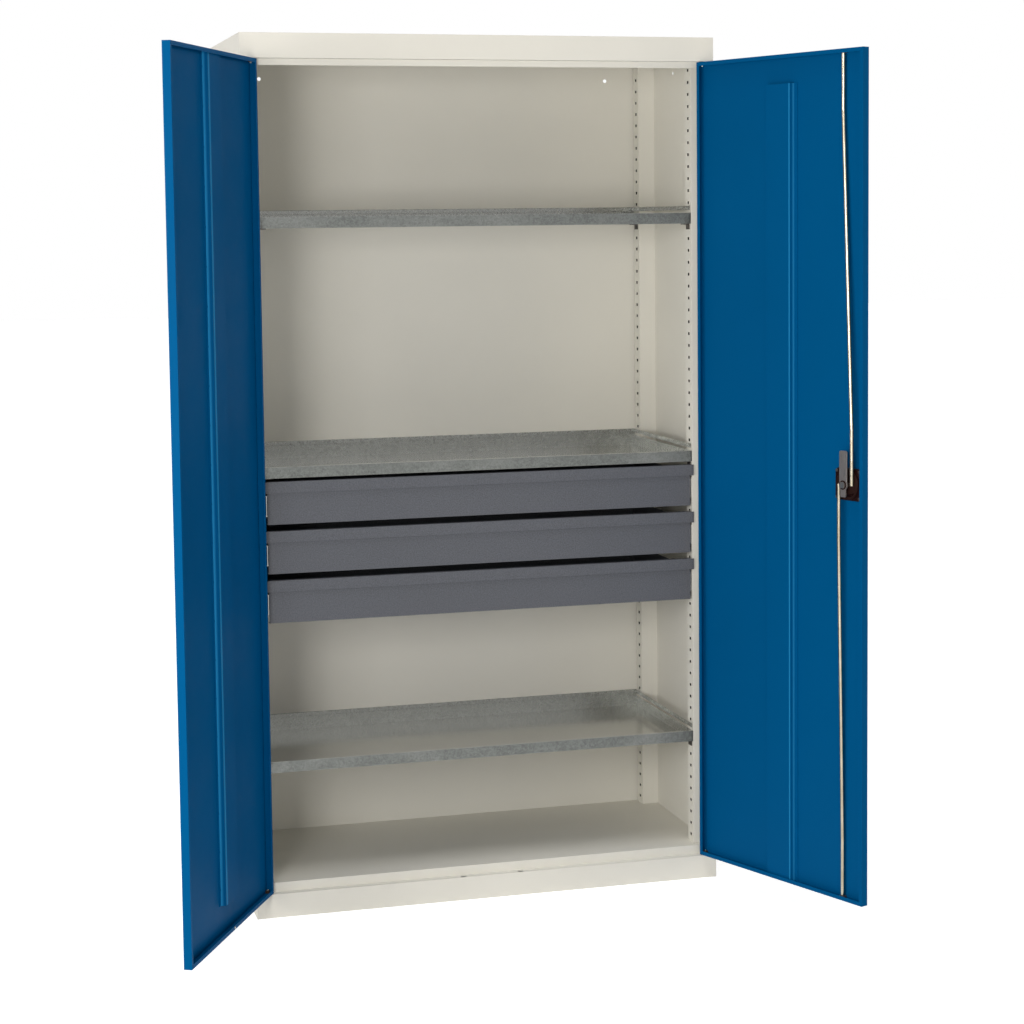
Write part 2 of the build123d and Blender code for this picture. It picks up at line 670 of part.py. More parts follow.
with BuildPart() as scroll_cam:
    with BuildSketch(RIGHT.face(CAM_BACK)):
        with Locations((LOCK_U, LOCK_HEIGHT)):
            Circle(CAM_RADIUS)
            Rectangle(SPINDLE_SQUARE, SPINDLE_SQUARE, mode=Mode.SUBTRACT)
        for flip in (1, -1):
            with BuildLine():
                outer = scroll_edge(-SLOT_HALF, flip)
                inner = scroll_edge(SLOT_HALF, flip)
                start_tip = placed(scroll_end(0, -SLOT_HALF), flip)
                end_tip = placed(scroll_end(FULL_TURN, SLOT_HALF), flip)
                ThreePointArc(outer[0] @ 0, start_tip, inner[0] @ 0)
                ThreePointArc(outer[1] @ 1, end_tip, inner[1] @ 1)
            make_face(mode=Mode.SUBTRACT)
    extrude(amount=CAM_THICKNESS)
save(scroll_cam.part, "scroll_cam")

# Hook plate: the long arm reaches past the free edge when the lock is turned.
with BuildPart() as lock_hook:
    with BuildSketch(RIGHT.face(HOOK_BACK)):
        with Locations((LOCK_U, LOCK_HEIGHT)):
            Rectangle(HOOK_WIDTH, HOOK_REACH, align=(Align.CENTER, Align.MIN))
            Rectangle(HOOK_TAIL_WIDTH, HOOK_TAIL, align=(Align.CENTER, Align.MAX))
            Circle(HOOK_HUB_RADIUS)
    extrude(amount=HOOK_THICKNESS)
    ends = lock_hook.edges().filter_by(lambda e: abs(e.length - HOOK_THICKNESS) < 0.01)
    fillet(ends.group_by(Axis.Z)[-1], HOOK_CORNER)
    fillet(ends.group_by(Axis.Z)[0], HOOK_TAIL_CORNER)
    with BuildSketch(RIGHT.face(HOOK_BACK)):
        with Locations((LOCK_U, LOCK_HEIGHT)):
            Rectangle(SPINDLE_SQUARE, SPINDLE_SQUARE)
    extrude(amount=HOOK_THICKNESS, mode=Mode.SUBTRACT)
save(lock_hook.part, "lock_hook")

with BuildPart() as hook_bolt:
    with BuildSketch(RIGHT.face(HOOK_FACE)):
        with Locations((LOCK_U, LOCK_HEIGHT)):
            RegularPolygon(BOLT_HEAD_RADIUS, 6)
    extrude(amount=BOLT_HEAD_HEIGHT)
    with BuildSketch(RIGHT.face(HOOK_FACE)):
        with Locations((LOCK_U, LOCK_HEIGHT)):
            Circle(BOLT_SHANK_RADIUS)
    extrude(amount=-BOLT_SHANK_LENGTH)
save(hook_bolt.part, "hook_bolt")

# Turning knob with its key cylinder, on the outer face of the door.
KNOB_BACK = -ROSETTE_THICKNESS - KNOB_GAP
KNOB_FACE = -KNOB_STAND_OFF
QUARTER_TURN = 90

with BuildPart() as door_knob:
    with BuildSketch(RIGHT.face(KNOB_BACK)):
        with Locations((LOCK_U, LOCK_HEIGHT)):
            Circle(KNOB_HUB_RADIUS)
    extrude(amount=KNOB_FACE + KNOB_GRIP_THICKNESS - KNOB_BACK)
    with BuildSketch(RIGHT.face(KNOB_FACE)):
        with Locations((LOCK_U, LOCK_HEIGHT)):
            SlotOverall(KNOB_LENGTH, KNOB_WIDTH, rotation=QUARTER_TURN)
    extrude(amount=KNOB_GRIP_THICKNESS)
    front_face = door_knob.faces().sort_by(lambda f: f.center().dot(RIGHT.inside))[0]
    chamfer(front_face.outer_wire().edges(), KNOB_CHAMFER)
    with BuildSketch(RIGHT.face(KNOB_BACK)):
        with Locations((LOCK_U, LOCK_HEIGHT)):
            Circle(SPINDLE_RADIUS)
    extrude(amount=-SPINDLE_GRIP, mode=Mode.SUBTRACT)
    with BuildSketch(RIGHT.face(KNOB_FACE)):
        with Locations((LOCK_U, LOCK_HEIGHT)):
            Circle(CYLINDER_RADIUS)
    extrude(amount=CYLINDER_DEPTH, mode=Mode.SUBTRACT)
save(door_knob.part, "door_knob")

with BuildPart() as key_cylinder:
    with BuildSketch(RIGHT.face(KNOB_FACE + CYLINDER_DEPTH)):
        with Locations((LOCK_U, LOCK_HEIGHT)):
            Circle(CYLINDER_RADIUS)
    extrude(amount=-CYLINDER_DEPTH - CYLINDER_PROUD)
    with BuildSketch(RIGHT.face(KNOB_FACE - CYLINDER_PROUD)):
        with Locations((LOCK_U, LOCK_HEIGHT)):
            Rectangle(KEY_SLOT_WIDTH, KEY_SLOT_LENGTH)
    extrude(amount=KEY_SLOT_DEPTH, mode=Mode.SUBTRACT)
save(key_cylinder.part, "key_cylinder")


def lock_rod(out, label):
    """Bent round rod, from its pin in the scroll cam to its guide in the door's lip.

    out is 1 for the rod that shoots up into the header and -1 for the one that shoots
    down into the plinth ledge.
    """
    near_s = LOCK_S + out * PIN_OFFSET
    far_s = FREE_EDGE - ROD_TO_FREE_EDGE
    pin_z = LOCK_HEIGHT + out * PIN_START_HEIGHT
    edge = DOOR_TOP if out > 0 else DOOR_BOTTOM
    points = [
        RIGHT.point(near_s, ROD_AXIS, pin_z - out * ROD_RADIUS),
        RIGHT.point(near_s, ROD_AXIS, LOCK_HEIGHT + out * ROD_BEND_START),
        RIGHT.point(far_s, ROD_END_SETBACK, edge - out * ROD_BEND_END),
        RIGHT.point(far_s, ROD_END_SETBACK, edge - out * ROD_END_SHORTFALL),
    ]
    with BuildPart() as rod:
        with BuildLine() as path:
            Polyline(*points)
        with BuildSketch(Plane(origin=points[0], z_dir=(0, 0, out))):
            Circle(ROD_RADIUS)
        sweep(path=path.line, transition=Transition.RIGHT)
        with BuildSketch(RIGHT.face(ROD_AXIS)):
            with Locations((RIGHT.u(near_s), pin_z)):
                Circle(PIN_RADIUS)
        extrude(amount=CAM_BACK - ROD_AXIS)
    save(rod.part, label)


lock_rod(1, "upper_rod")
lock_rod(-1, "lower_rod")

# ---- drawers -----------------------------------------------------------------------------

RAIL_FACE = POST_FACE - RAIL_SHEET
MID_FACE = RAIL_FACE - RAIL_WEB_CLEARANCE
SIDE_FACE = POST_FACE - RAIL_GAP
FIXED_HALF = RAIL_HEIGHT / 2
MID_HALF = FIXED_HALF - RAIL_SHEET - RAIL_CLEARANCE
INNER_HALF = MID_HALF - RAIL_SHEET - RAIL_CLEARANCE
FIXED_FLANGE_TIP = SIDE_FACE + RAIL_SHEET + 2 * RAIL_CLEARANCE
MID_FLANGE_TIP = SIDE_FACE + RAIL_SHEET + 3 * RAIL_CLEARANCE
INNER_FLANGE_TIP = MID_FACE - RAIL_SHEET - RAIL_CLEARANCE


def rail_pair(root_x, tip_x, half, rail_z, label, hooked=False):
    """Channel rails on both sides: web at root_x, flanges that reach tip_x.

    The fixed rails are hooked: two lugs go through the post slots and drop behind them.
    """
    path = [
        (tip_x, rail_z + half),
        (root_x, rail_z + half),
        (root_x, rail_z - half),
        (tip_x, rail_z - half),
    ]
    with BuildPart() as rails:
        with BuildSketch(Plane.XZ.offset(-RAIL_START)):
            with BuildLine():
                line = Polyline(*path)
                side = Side.RIGHT if root_x > tip_x else Side.LEFT
                offset(line, amount=RAIL_SHEET, side=side, kind=Kind.INTERSECTION)
            make_face()
        extrude(amount=-RAIL_LENGTH)
        if hooked:
            slot_floor = rail_z - SLOT_HEIGHT / 2
            for y in SLOT_SIDES:
                with BuildSketch(Plane.XZ.offset(-y)):
                    with Locations((root_x, slot_floor)):
                        Rectangle(POST_SHEET + RAIL_SHEET, RAIL_HOOK_NECK, align=Align.MIN)
                    with Locations((root_x + POST_SHEET, slot_floor + RAIL_HOOK_NECK)):
                        Rectangle(
                            RAIL_SHEET,
                            RAIL_HOOK_NECK + RAIL_HOOK_DROP,
                            align=(Align.MIN, Align.MAX),
                        )
                extrude(amount=RAIL_HOOK_WIDTH / 2, both=True)
        mirror(about=Plane.YZ)
    save(rails.part, label)


def drawer_box(bottom, label):
    """Open steel tray behind the drawer's front."""
    start = FRONT + DRAWER_FRONT_SETBACK + SHEET
    with BuildPart() as box:
        with BuildSketch(Plane.XY.offset(bottom)):
            with Locations((0, start)):
                Rectangle(2 * SIDE_FACE, DRAWER_BACK_Y - start, align=(Align.CENTER, Align.MIN))
        extrude(amount=DRAWER_SIDE_HEIGHT)
        offset(amount=-DRAWER_SHEET, openings=box.faces().sort_by(Axis.Z)[-1])
    save(box.part, label)


def drawer_front(bottom, label):
    """Folded front with a full-width grip strip that stands forward of the panel."""
    top = bottom + FRONT_HEIGHT
    panel_y = FRONT + DRAWER_FRONT_SETBACK
    grip_y = panel_y - GRIP_STEP
    half = POST_FACE - FRONT_SIDE_GAP
    path = [
        (panel_y + FRONT_RETURN, bottom),
        (panel_y, bottom),
        (panel_y, top - GRIP_HEIGHT),
        (grip_y, top - GRIP_HEIGHT),
        (grip_y, top),
        (grip_y + FRONT_RETURN, top),
    ]
    with BuildPart() as front:
        with BuildSketch(Plane.YZ.offset(-half)):
            with BuildLine():
                line = Polyline(*path)
                offset(line, amount=SHEET, side=Side.RIGHT, kind=Kind.INTERSECTION)
            make_face()
        extrude(amount=2 * half)
        with BuildSketch(Plane.XZ.offset(-grip_y)):
            with Locations((0, top)):
                Rectangle(
                    2 * (half + GRIP_OVERHANG), GRIP_HEIGHT, align=(Align.CENTER, Align.MAX)
                )
        extrude(amount=-SHEET)
    save(front.part, label)


for number in range(1, DRAWER_COUNT + 1):
    rail_z = slot_height(FIRST_RAIL_SLOT + (number - 1) * RAIL_SLOT_STEP)
    front_bottom = rail_z + FRONT_TOP_ABOVE_RAIL - FRONT_HEIGHT
    drawer_front(front_bottom, f"drawer_{number}_front")
    drawer_box(front_bottom + BOX_LIFT, f"drawer_{number}_box")
    name = f"drawer_{number}"
    rail_pair(SIDE_FACE, INNER_FLANGE_TIP, INNER_HALF, rail_z, f"{name}_inner_rails")
    rail_pair(MID_FACE, MID_FLANGE_TIP, MID_HALF, rail_z, f"{name}_middle_rails")
    rail_pair(POST_FACE, FIXED_FLANGE_TIP, FIXED_HALF, rail_z, f"{name}_fixed_rails", hooked=True)
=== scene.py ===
"""Looks of a steel tool cabinet with two hinged doors, three shelf trays and three drawers.

Lengths are in metres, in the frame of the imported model. Each sub-assembly is a class that
dresses its own sheet-metal parts and builds the small parts that belong to it. Each finish is
a frozen dataclass that lays out its own material.
"""

import logging
import math
from dataclasses import dataclass, fields
from enum import Enum
from typing import Iterable, Sequence

import bmesh
import bpy
from bmesh.types import BMEdge, BMesh, BMVert
from bpy.types import Light, Material, Node, NodeSocket as Socket, Object, World
from mathutils import Matrix, Vector


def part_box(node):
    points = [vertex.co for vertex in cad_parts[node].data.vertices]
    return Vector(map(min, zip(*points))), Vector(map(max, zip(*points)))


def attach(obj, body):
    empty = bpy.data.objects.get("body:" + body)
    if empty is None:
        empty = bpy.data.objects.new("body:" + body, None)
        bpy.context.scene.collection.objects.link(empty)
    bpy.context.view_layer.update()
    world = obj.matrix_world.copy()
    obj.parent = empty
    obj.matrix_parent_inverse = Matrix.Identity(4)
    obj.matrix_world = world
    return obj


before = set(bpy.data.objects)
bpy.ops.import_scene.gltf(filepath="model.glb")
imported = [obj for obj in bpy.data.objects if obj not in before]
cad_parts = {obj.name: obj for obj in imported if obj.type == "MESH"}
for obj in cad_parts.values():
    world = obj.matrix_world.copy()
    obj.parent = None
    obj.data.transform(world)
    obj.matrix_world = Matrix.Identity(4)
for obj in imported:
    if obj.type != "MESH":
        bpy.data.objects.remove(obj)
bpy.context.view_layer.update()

LOG = logging.getLogger("tool_cabinet")
IMAGE_SIDE = 1024
RIGHT_ANGLE = math.pi / 2
BEVEL_SAMPLES = 4
MIX_FIRST, MIX_SECOND, MIX_RESULT = 6, 7, 2
WHITE = (1.0, 1.0, 1.0)
LAMP_TINT = (1.0, 0.985, 0.96)

Pair = tuple[float, float]
Point = tuple[float, float, float]
Colour = tuple[float, float, float]


def linear(red: float, green: float, blue: float) -> Colour:
    """Turn screen values from 0 to 255 into the linear values a shader takes.

    Args:
        red: Red, 0 to 255.
        green: Green, 0 to 255.
        blue: Blue, 0 to 255.

    Returns:
        The same colour as three linear values.
    """

    def one(value: float) -> float:
        """Linear value of one channel."""
        value /= 255
        return value / 12.92 if value <= 0.04045 else ((value + 0.055) / 1.055) ** 2.4

    return (one(red), one(green), one(blue))


def shaded(colour: Colour, factor: float) -> Colour:
    """The colour times a factor, channel by channel."""
    return (colour[0] * factor, colour[1] * factor, colour[2] * factor)


# ---- node desks ----


@dataclass(frozen=True)
class Cloud:
    """Settings of one cloudy pattern, and the band of its values that a mask spreads."""

    per_metre: float
    detail: float = 3.0
    rough: float = 0.5
    band: Pair = (0.3, 0.7)


class NodeDesk:
    """Short hand for laying out the nodes of a world or a material."""

    def __init__(self, owner: World | Material) -> None:
        """Start with an empty node tree.

        Args:
            owner: World or material that the nodes belong to.
        """
        owner.use_nodes = True
        self.tree = owner.node_tree
        self.tree.nodes.clear()

    def add(self, kind: str, inputs: dict[str | int, object] | None = None) -> Node:
        """Add a node.

        Args:
            kind: Its type.
            inputs: Links or plain values for its input sockets, by name or number.

        Returns:
            The node.
        """
        node = self.tree.nodes.new(kind)
        for name, value in (inputs or {}).items():
            self.feed(node.inputs[name], value)
        return node

    def feed(self, socket: Socket, value: object) -> None:
        """Give a socket either a link or a plain value.

        Args:
            socket: Input socket.
            value: Output socket, number, vector or colour.
        """
        if isinstance(value, Socket):
            self.tree.links.new(value, socket)
        elif isinstance(value, tuple) and socket.type == "RGBA":
            socket.default_value = (*value, 1.0)
        else:
            socket.default_value = value

    def calculate(self, kind: str, first: object, second: object = 0.0) -> Socket:
        """One Math node.

        Args:
            kind: Operation of the node.
            first: Socket or number.
            second: Socket or number, unused by an operation on one value.

        Returns:
            The result.
        """
        node = self.add("ShaderNodeMath", {0: first, 1: second})
        node.operation = kind
        return node.outputs["Value"]

    def vectors(self, kind: str, first: object, second: object) -> Node:
        """One Vector Math node.

        Args:
            kind: Operation of the node.
            first: Socket or vector.
            second: Socket or vector.

        Returns:
            The node, which holds its results.
        """
        node = self.add("ShaderNodeVectorMath", {0: first, 1: second})
        node.operation = kind
        return node

    def axis(self, vector: Socket, name: str) -> Socket:
        """The part of a vector along the X, Y or Z axis."""
        return self.add("ShaderNodeSeparateXYZ", {"Vector": vector}).outputs[name]

    def seen(self) -> Socket:
        """Tell the rays that show a surface from those that light it.

        Returns:
            Number that is 1 for camera, glossy and transmission rays and 0 for the rest.
        """
        path = self.add("ShaderNodeLightPath").outputs
        first = self.calculate("MAXIMUM", path["Is Camera Ray"], path["Is Glossy Ray"])
        return self.calculate("MAXIMUM", first, path["Is Transmission Ray"])


class SurfaceDesk(NodeDesk):
    """Desk for the material of one finish."""

    def __init__(self, name: str) -> None:
        """Make a material that holds only the shader.

        Args:
            name: Name of the material.
        """
        self.material = bpy.data.materials.new(name)
        super().__init__(self.material)
        self.shader = self.add("ShaderNodeBsdfPrincipled")
        self.add("ShaderNodeOutputMaterial", {"Surface": self.shader.outputs["BSDF"]})
        self.place = self.add("ShaderNodeTexCoord").outputs["Object"]

    def set(self, socket: str, value: object) -> None:
        """Feed one socket of the shader by its name."""
        self.feed(self.shader.inputs[socket], value)

    def body_colour(self) -> Socket:
        """The colour that is linked to the shader so far."""
        return self.shader.inputs["Base Color"].links[0].from_socket

    def stretched(self, scale: Point) -> Socket:
        """Object coordinates, scaled on each axis."""
        inputs = {"Vector": self.place, "Scale": scale}
        return self.add("ShaderNodeMapping", inputs).outputs["Vector"]

    def noise(self, cloud: Cloud, where: Socket | None = None) -> Socket:
        """Cloudy pattern from 0 to 1.

        Args:
            cloud: Settings of the pattern.
            where: Coordinates, or None for the object's own.

        Returns:
            The pattern's value.
        """
        inputs = {
            "Vector": where or self.place,
            "Scale": cloud.per_metre,
            "Detail": cloud.detail,
            "Roughness": cloud.rough,
        }
        return self.add("ShaderNodeTexNoise", inputs).outputs["Fac"]

    def crystals(self, per_metre: float) -> Socket:
        """Flat-toned cells with a random value each, as zinc spangle has.

        Args:
            per_metre: Cells per metre.

        Returns:
            The cells' value, from 0 to 1.
        """
        cells = self.add("ShaderNodeTexVoronoi", {"Vector": self.place, "Scale": per_metre})
        parts = self.add("ShaderNodeSeparateColor", {"Color": cells.outputs["Color"]})
        return parts.outputs["Red"]

    def ramp(self, value: Socket, band: Pair, start: float, end: float) -> Socket:
        """Map a band of values to start..end, clamped.

        Args:
            value: Value to map.
            band: The value that gives start, and the value that gives end.
            start: First result.
            end: Last result.

        Returns:
            The mapped value.
        """
        inputs = {
            "Value": value,
            "From Min": band[0],
            "From Max": band[1],
            "To Min": start,
            "To Max": end,
        }
        return self.add("ShaderNodeMapRange", inputs).outputs["Result"]

    def patches(self, cloud: Cloud, start: float, end: float) -> Socket:
        """Cloudy pattern, mapped from its band to start..end."""
        return self.ramp(self.noise(cloud), cloud.band, start, end)

    def blend(self, share: object, first: object, second: object) -> Socket:
        """Mix two colours.

        Args:
            share: Part of the second colour.
            first: Colour or socket.
            second: Colour or socket.

        Returns:
            The mixed colour.
        """
        inputs = {"Factor": share, MIX_FIRST: first, MIX_SECOND: second}
        node = self.add("ShaderNodeMix", inputs)
        node.data_type = "RGBA"
        return node.outputs[MIX_RESULT]

    def rimmed(self, body: Socket, width: float, share: float, rim: Colour) -> Socket:
        """Body colour with a share of the rim's colour within a width of the sharp edges."""
        return self.blend(self.calculate("MULTIPLY", self.edges(width), share), body, rim)

    def upward(self, band: Pair = (0.6, 0.9)) -> Socket:
        """Mask that is 1 on faces that look up and 0 on upright ones."""
        normal = self.add("ShaderNodeTexCoord").outputs["Normal"]
        return self.ramp(self.axis(normal, "Z"), band, 0.0, 1.0)

    def behind(self, line: float, most: float, fade: float = 0.002) -> Socket:
        """Mask that is at its most behind a line across the cabinet and 0 in front of it."""
        return self.ramp(self.axis(self.place, "Y"), (line - fade, line + fade), 0.0, most)

    def along(self, axis: Point, start: Point = (0.0, 0.0, 0.0)) -> Socket:
        """Distance from a point, measured in a direction of length one."""
        offset = self.vectors("SUBTRACT", self.place, start).outputs["Vector"]
        return self.vectors("DOT_PRODUCT", offset, axis).outputs["Value"]

    def near(self, value: Socket, line: float, half: float, fade: float) -> Socket:
        """Mask that is 1 within half of a line and fades to 0 beyond it."""
        gap = self.calculate("ABSOLUTE", self.calculate("SUBTRACT", value, line))
        return self.ramp(gap, (half, half + fade), 1.0, 0.0)

    def within(self, value: Socket, span: Pair, fade: float = 0.0001) -> Socket:
        """Mask that is 1 where a value lies within a span and fades to 0 past its ends."""
        low, high = span
        return self.near(value, (low + high) / 2, (high - low) / 2, fade)

    def rounded_normal(self, radius: float) -> Socket:
        """Normals as if all edges had a small radius.

        Args:
            radius: The radius.

        Returns:
            The normals.
        """
        bevel = self.add("ShaderNodeBevel", {"Radius": radius})
        bevel.samples = BEVEL_SAMPLES
        return bevel.outputs["Normal"]

    def edges(self, width: float, band: Pair = (0.98, 0.75)) -> Socket:
        """Mask that is 1 on sharp edges and 0 on flat metal.

        Args:
            width: Width of the band beside an edge.
            band: Cosine between flat and rounded normals where the mask is 0, and where 1.

        Returns:
            The mask.
        """
        rounded = self.rounded_normal(width)
        flat = self.add("ShaderNodeNewGeometry").outputs["Normal"]
        cosine = self.vectors("DOT_PRODUCT", rounded, flat).outputs["Value"]
        return self.ramp(cosine, band, 0.0, 1.0)

    def relief(self, height: Socket, depth: float, edge_radius: float) -> None:
        """Give the surface a fine relief and softly rounded edges.

        Args:
            height: Pattern from 0 to 1.
            depth: Height of the relief.
            edge_radius: Radius that the edges seem to have.
        """
        inputs = {
            "Distance": depth,
            "Strength": 1.0,
            "Height": height,
            "Normal": self.rounded_normal(edge_radius),
        }
        self.set("Normal", self.add("ShaderNodeBump", inputs).outputs["Normal"])


# ---- finishes ----


@dataclass(frozen=True)
class Finish:
    """A finish that a part can take."""

    name: str
    slot: str
    colour: Colour

    def material(self) -> Material:
        """Make the finish's material once and then share it.

        Returns:
            The material.
        """
        made = bpy.data.materials.get(self.name)
        if made is None:
            desk = SurfaceDesk(self.name)
            self.lay_out(desk)
            made = desk.material
            made.diffuse_color = (*self.colour, 1.0)
        return made

    def lay_out(self, desk: SurfaceDesk) -> None:
        """Add the finish's nodes to the desk."""
        raise NotImplementedError


@dataclass(frozen=True)
class PowderCoat(Finish):
    """Baked powder paint: fine orange peel and a soft gloss, paler on the edges, partly as edge
    wear and partly as a painted highlight.
    """

    gloss: Pair = (0.34, 0.46)
    haze: Cloud = Cloud(9.0, 5.0, 0.6)
    specular: float = 0.4
    index: float = 1.45
    peel: Cloud = Cloud(420.0, 2.0)
    peel_depth: float = 0.00003
    mottles: Cloud = Cloud(2.3, 4.0, 0.55)
    mottling: float = 0.03
    specks: Cloud = Cloud(650.0, 2.0, 0.7, (0.35, 0.65))
    speckle: float = 0.06
    speck_shade: float = 0.3
    chips: Cloud = Cloud(60.0, 4.0, 0.6, (0.42, 0.6))
    chip_low: float = 0.35
    edge_factor: float = 1.25
    edge_share: float = 0.5
    edge_width: float = 0.0011
    edge_radius: float = 0.0005

    def lay_out(self, desk: SurfaceDesk) -> None:
        """Add the paint's nodes to the desk.

        Args:
            desk: Desk of the material.
        """
        dark = shaded(self.colour, 1 - self.mottling)
        light = shaded(self.colour, 1 + self.mottling)
        body = desk.blend(desk.patches(self.mottles, 0.0, 1.0), dark, light)
        speck = desk.patches(self.specks, 0.0, self.speckle)
        body = desk.blend(speck, body, shaded(self.colour, self.speck_shade))
        # Paler edges: partly edge wear, broken up by the chips, and partly a painted highlight
        # along folds and rims.
        chips = desk.patches(self.chips, self.chip_low, 1.0)
        worn_and_highlit_edges = desk.calculate("MULTIPLY", desk.edges(self.edge_width), chips)
        rim = desk.calculate("MULTIPLY", worn_and_highlit_edges, self.edge_share)
        desk.set("Base Color", desk.blend(rim, body, shaded(self.colour, self.edge_factor)))
        desk.set("Roughness", desk.patches(self.haze, *self.gloss))
        desk.set("Specular IOR Level", self.specular)
        desk.set("IOR", self.index)
        desk.relief(desk.noise(self.peel), self.peel_depth, self.edge_radius)


@dataclass(frozen=True)
class FoldHighlightPaint(PowderCoat):
    """Powder paint on a folded stiffener, with a painted highlight along each fold."""

    start: Point = (0.0, 0.0, 0.0)
    axis: Point = (1.0, 0.0, 0.0)
    folds: tuple[Pair, ...] = ()
    fold_fade: float = 0.0011
    fold_colour: Colour = (0.02, 0.25, 0.52)
    fold_share: float = 0.8

    def lay_out(self, desk: SurfaceDesk) -> None:
        """Add the paint's nodes to the desk.

        Args:
            desk: Desk of the material.
        """
        super().lay_out(desk)
        body = desk.body_colour()
        reach = desk.along(self.axis, self.start)
        # Each fold line gets a paler blue band: a painted highlight.
        for fold, half in self.folds:
            line = desk.near(reach, fold, half, self.fold_fade)
            share = desk.calculate("MULTIPLY", line, self.fold_share)
            body = desk.blend(share, body, self.fold_colour)
        desk.set("Base Color", body)


@dataclass(frozen=True)
class PostHollowShadePaint(PowderCoat):
    """Powder paint with painted shade on the faces inside the closed posts, which darkens their
    slots.
    """

    depth: Pair = (0.4621, 0.4994)
    runs: tuple[Pair, ...] = ((-0.1754, -0.1416), (0.1686, 0.2024))
    bare_colour: Colour = (0.022, 0.02, 0.018)

    def lay_out(self, desk: SurfaceDesk) -> None:
        """Add the paint's nodes to the desk.

        Args:
            desk: Desk of the material.
        """
        super().lay_out(desk)
        body = desk.body_colour()
        sideways = desk.calculate("ABSOLUTE", desk.along((1.0, 0.0, 0.0)))
        lengthwise = desk.along((0.0, 1.0, 0.0))
        deep = desk.within(sideways, self.depth)
        # Near-black painted shade on the faces inside the post hollows, seen through the slots.
        for run in self.runs:
            painted_shade_mask = desk.calculate("MULTIPLY", deep, desk.within(lengthwise, run))
            body = desk.blend(painted_shade_mask, body, self.bare_colour)
        desk.set("Base Color", body)


@dataclass(frozen=True)
class GalvanisedSheet(Finish):
    """Galvanised sheet: small zinc crystals, rubbed smooth on top and mottled on the lips; upward
    faces and the upstands take a lighter copy of the zinc, which is painted light.
    """

    tray_colour: Colour = (0.56, 0.56, 0.53)
    crystals_per_metre: float = 260.0
    crystal_share: float = 0.4
    mottles: Cloud = Cloud(560.0, 5.0, 0.75, (0.38, 0.62))
    stains: Cloud = Cloud(5.0, 4.0, 0.6, (0.45, 0.75))
    stain_share: float = 0.3
    stain_shade: float = 0.75
    lip_line: float = -0.17
    upstand_share: float = 0.45
    lip_shades: Pair = (0.5, 1.35)
    tray_shades: Pair = (0.9, 1.08)
    metallic: float = 0.8
    gloss: Pair = (0.13, 0.2)
    gloss_band: Pair = (0.2, 0.9)
    lip_haze: float = 0.2
    relief_depth: float = 0.00002
    edge_factor: float = 1.1
    edge_share: float = 0.5
    edge_width: float = 0.001
    edge_radius: float = 0.0005

    def lay_out(self, desk: SurfaceDesk) -> None:
        """Add the zinc's nodes to the desk.

        Args:
            desk: Desk of the material.
        """
        fine = desk.noise(self.mottles)
        cell = desk.ramp(
            desk.crystals(self.crystals_per_metre), (0.0, 1.0), 0.0, self.crystal_share
        )
        mottle = desk.ramp(fine, self.mottles.band, 0.0, 1 - self.crystal_share)
        tone = desk.calculate("ADD", cell, mottle)
        # Painted light: upward faces, and partly the upstands behind the front lip, get a
        # lighter, lit copy of the zinc, and the lips keep a darker copy.
        upstand_light = desk.behind(self.lip_line, self.upstand_share)
        inner = desk.calculate("MAXIMUM", desk.upward(), upstand_light)
        darker_lip_body = desk.blend(tone, *(shaded(self.colour, shade) for shade in self.lip_shades))
        painted_lit_tray_body = desk.blend(tone, *(shaded(self.tray_colour, shade) for shade in self.tray_shades))
        body = desk.blend(inner, darker_lip_body, painted_lit_tray_body)
        stain = desk.patches(self.stains, 0.0, self.stain_share)
        body = desk.blend(stain, body, shaded(self.tray_colour, self.stain_shade))
        bright = shaded(self.tray_colour, self.edge_factor)
        desk.set("Base Color", desk.rimmed(body, self.edge_width, self.edge_share, bright))
        desk.set("Metallic", self.metallic)
        grain = desk.ramp(tone, self.gloss_band, *self.gloss)
        rubbed = desk.ramp(inner, (0.0, 1.0), self.lip_haze, 0.0)
        desk.set("Roughness", desk.calculate("ADD", grain, rubbed))
        desk.relief(fine, self.relief_depth, self.edge_radius)


@dataclass(frozen=True)
class PlatedSteel(Finish):
    """Bright-drawn or plated steel with fine draw lines along its length."""

    roughness: float = 0.28
    gloss_spread: Pair = (-0.05, 0.1)
    metallic: float = 1.0
    specular: float = 0.3
    draw: Point = (900.0, 900.0, 30.0)
    lines: Cloud = Cloud(1.0, 3.0, 0.6)
    line_depth: float = 0.00002
    tarnish: Colour = (0.4, 0.36, 0.3)
    tarnish_share: float = 0.3
    stains: Cloud = Cloud(35.0, 4.0, 0.6, (0.4, 0.75))
    edge_factor: float = 1.35
    edge_share: float = 0.5
    edge_width: float = 0.0006
    edge_radius: float = 0.0004

    def lay_out(self, desk: SurfaceDesk) -> None:
        """Add the plating's nodes to the desk.

        Args:
            desk: Desk of the material.
        """
        lines = desk.noise(self.lines, desk.stretched(self.draw))
        stain = desk.patches(self.stains, 0.0, self.tarnish_share)
        body = desk.blend(stain, self.colour, self.tarnish)
        bright = shaded(self.colour, self.edge_factor)
        desk.set("Base Color", desk.rimmed(body, self.edge_width, self.edge_share, bright))
        desk.set("Metallic", self.metallic)
        desk.set("Specular IOR Level", self.specular)
        gloss = (self.roughness + spread for spread in self.gloss_spread)
        desk.set("Roughness", desk.ramp(lines, self.lines.band, *gloss))
        desk.relief(lines, self.line_depth, self.edge_radius)


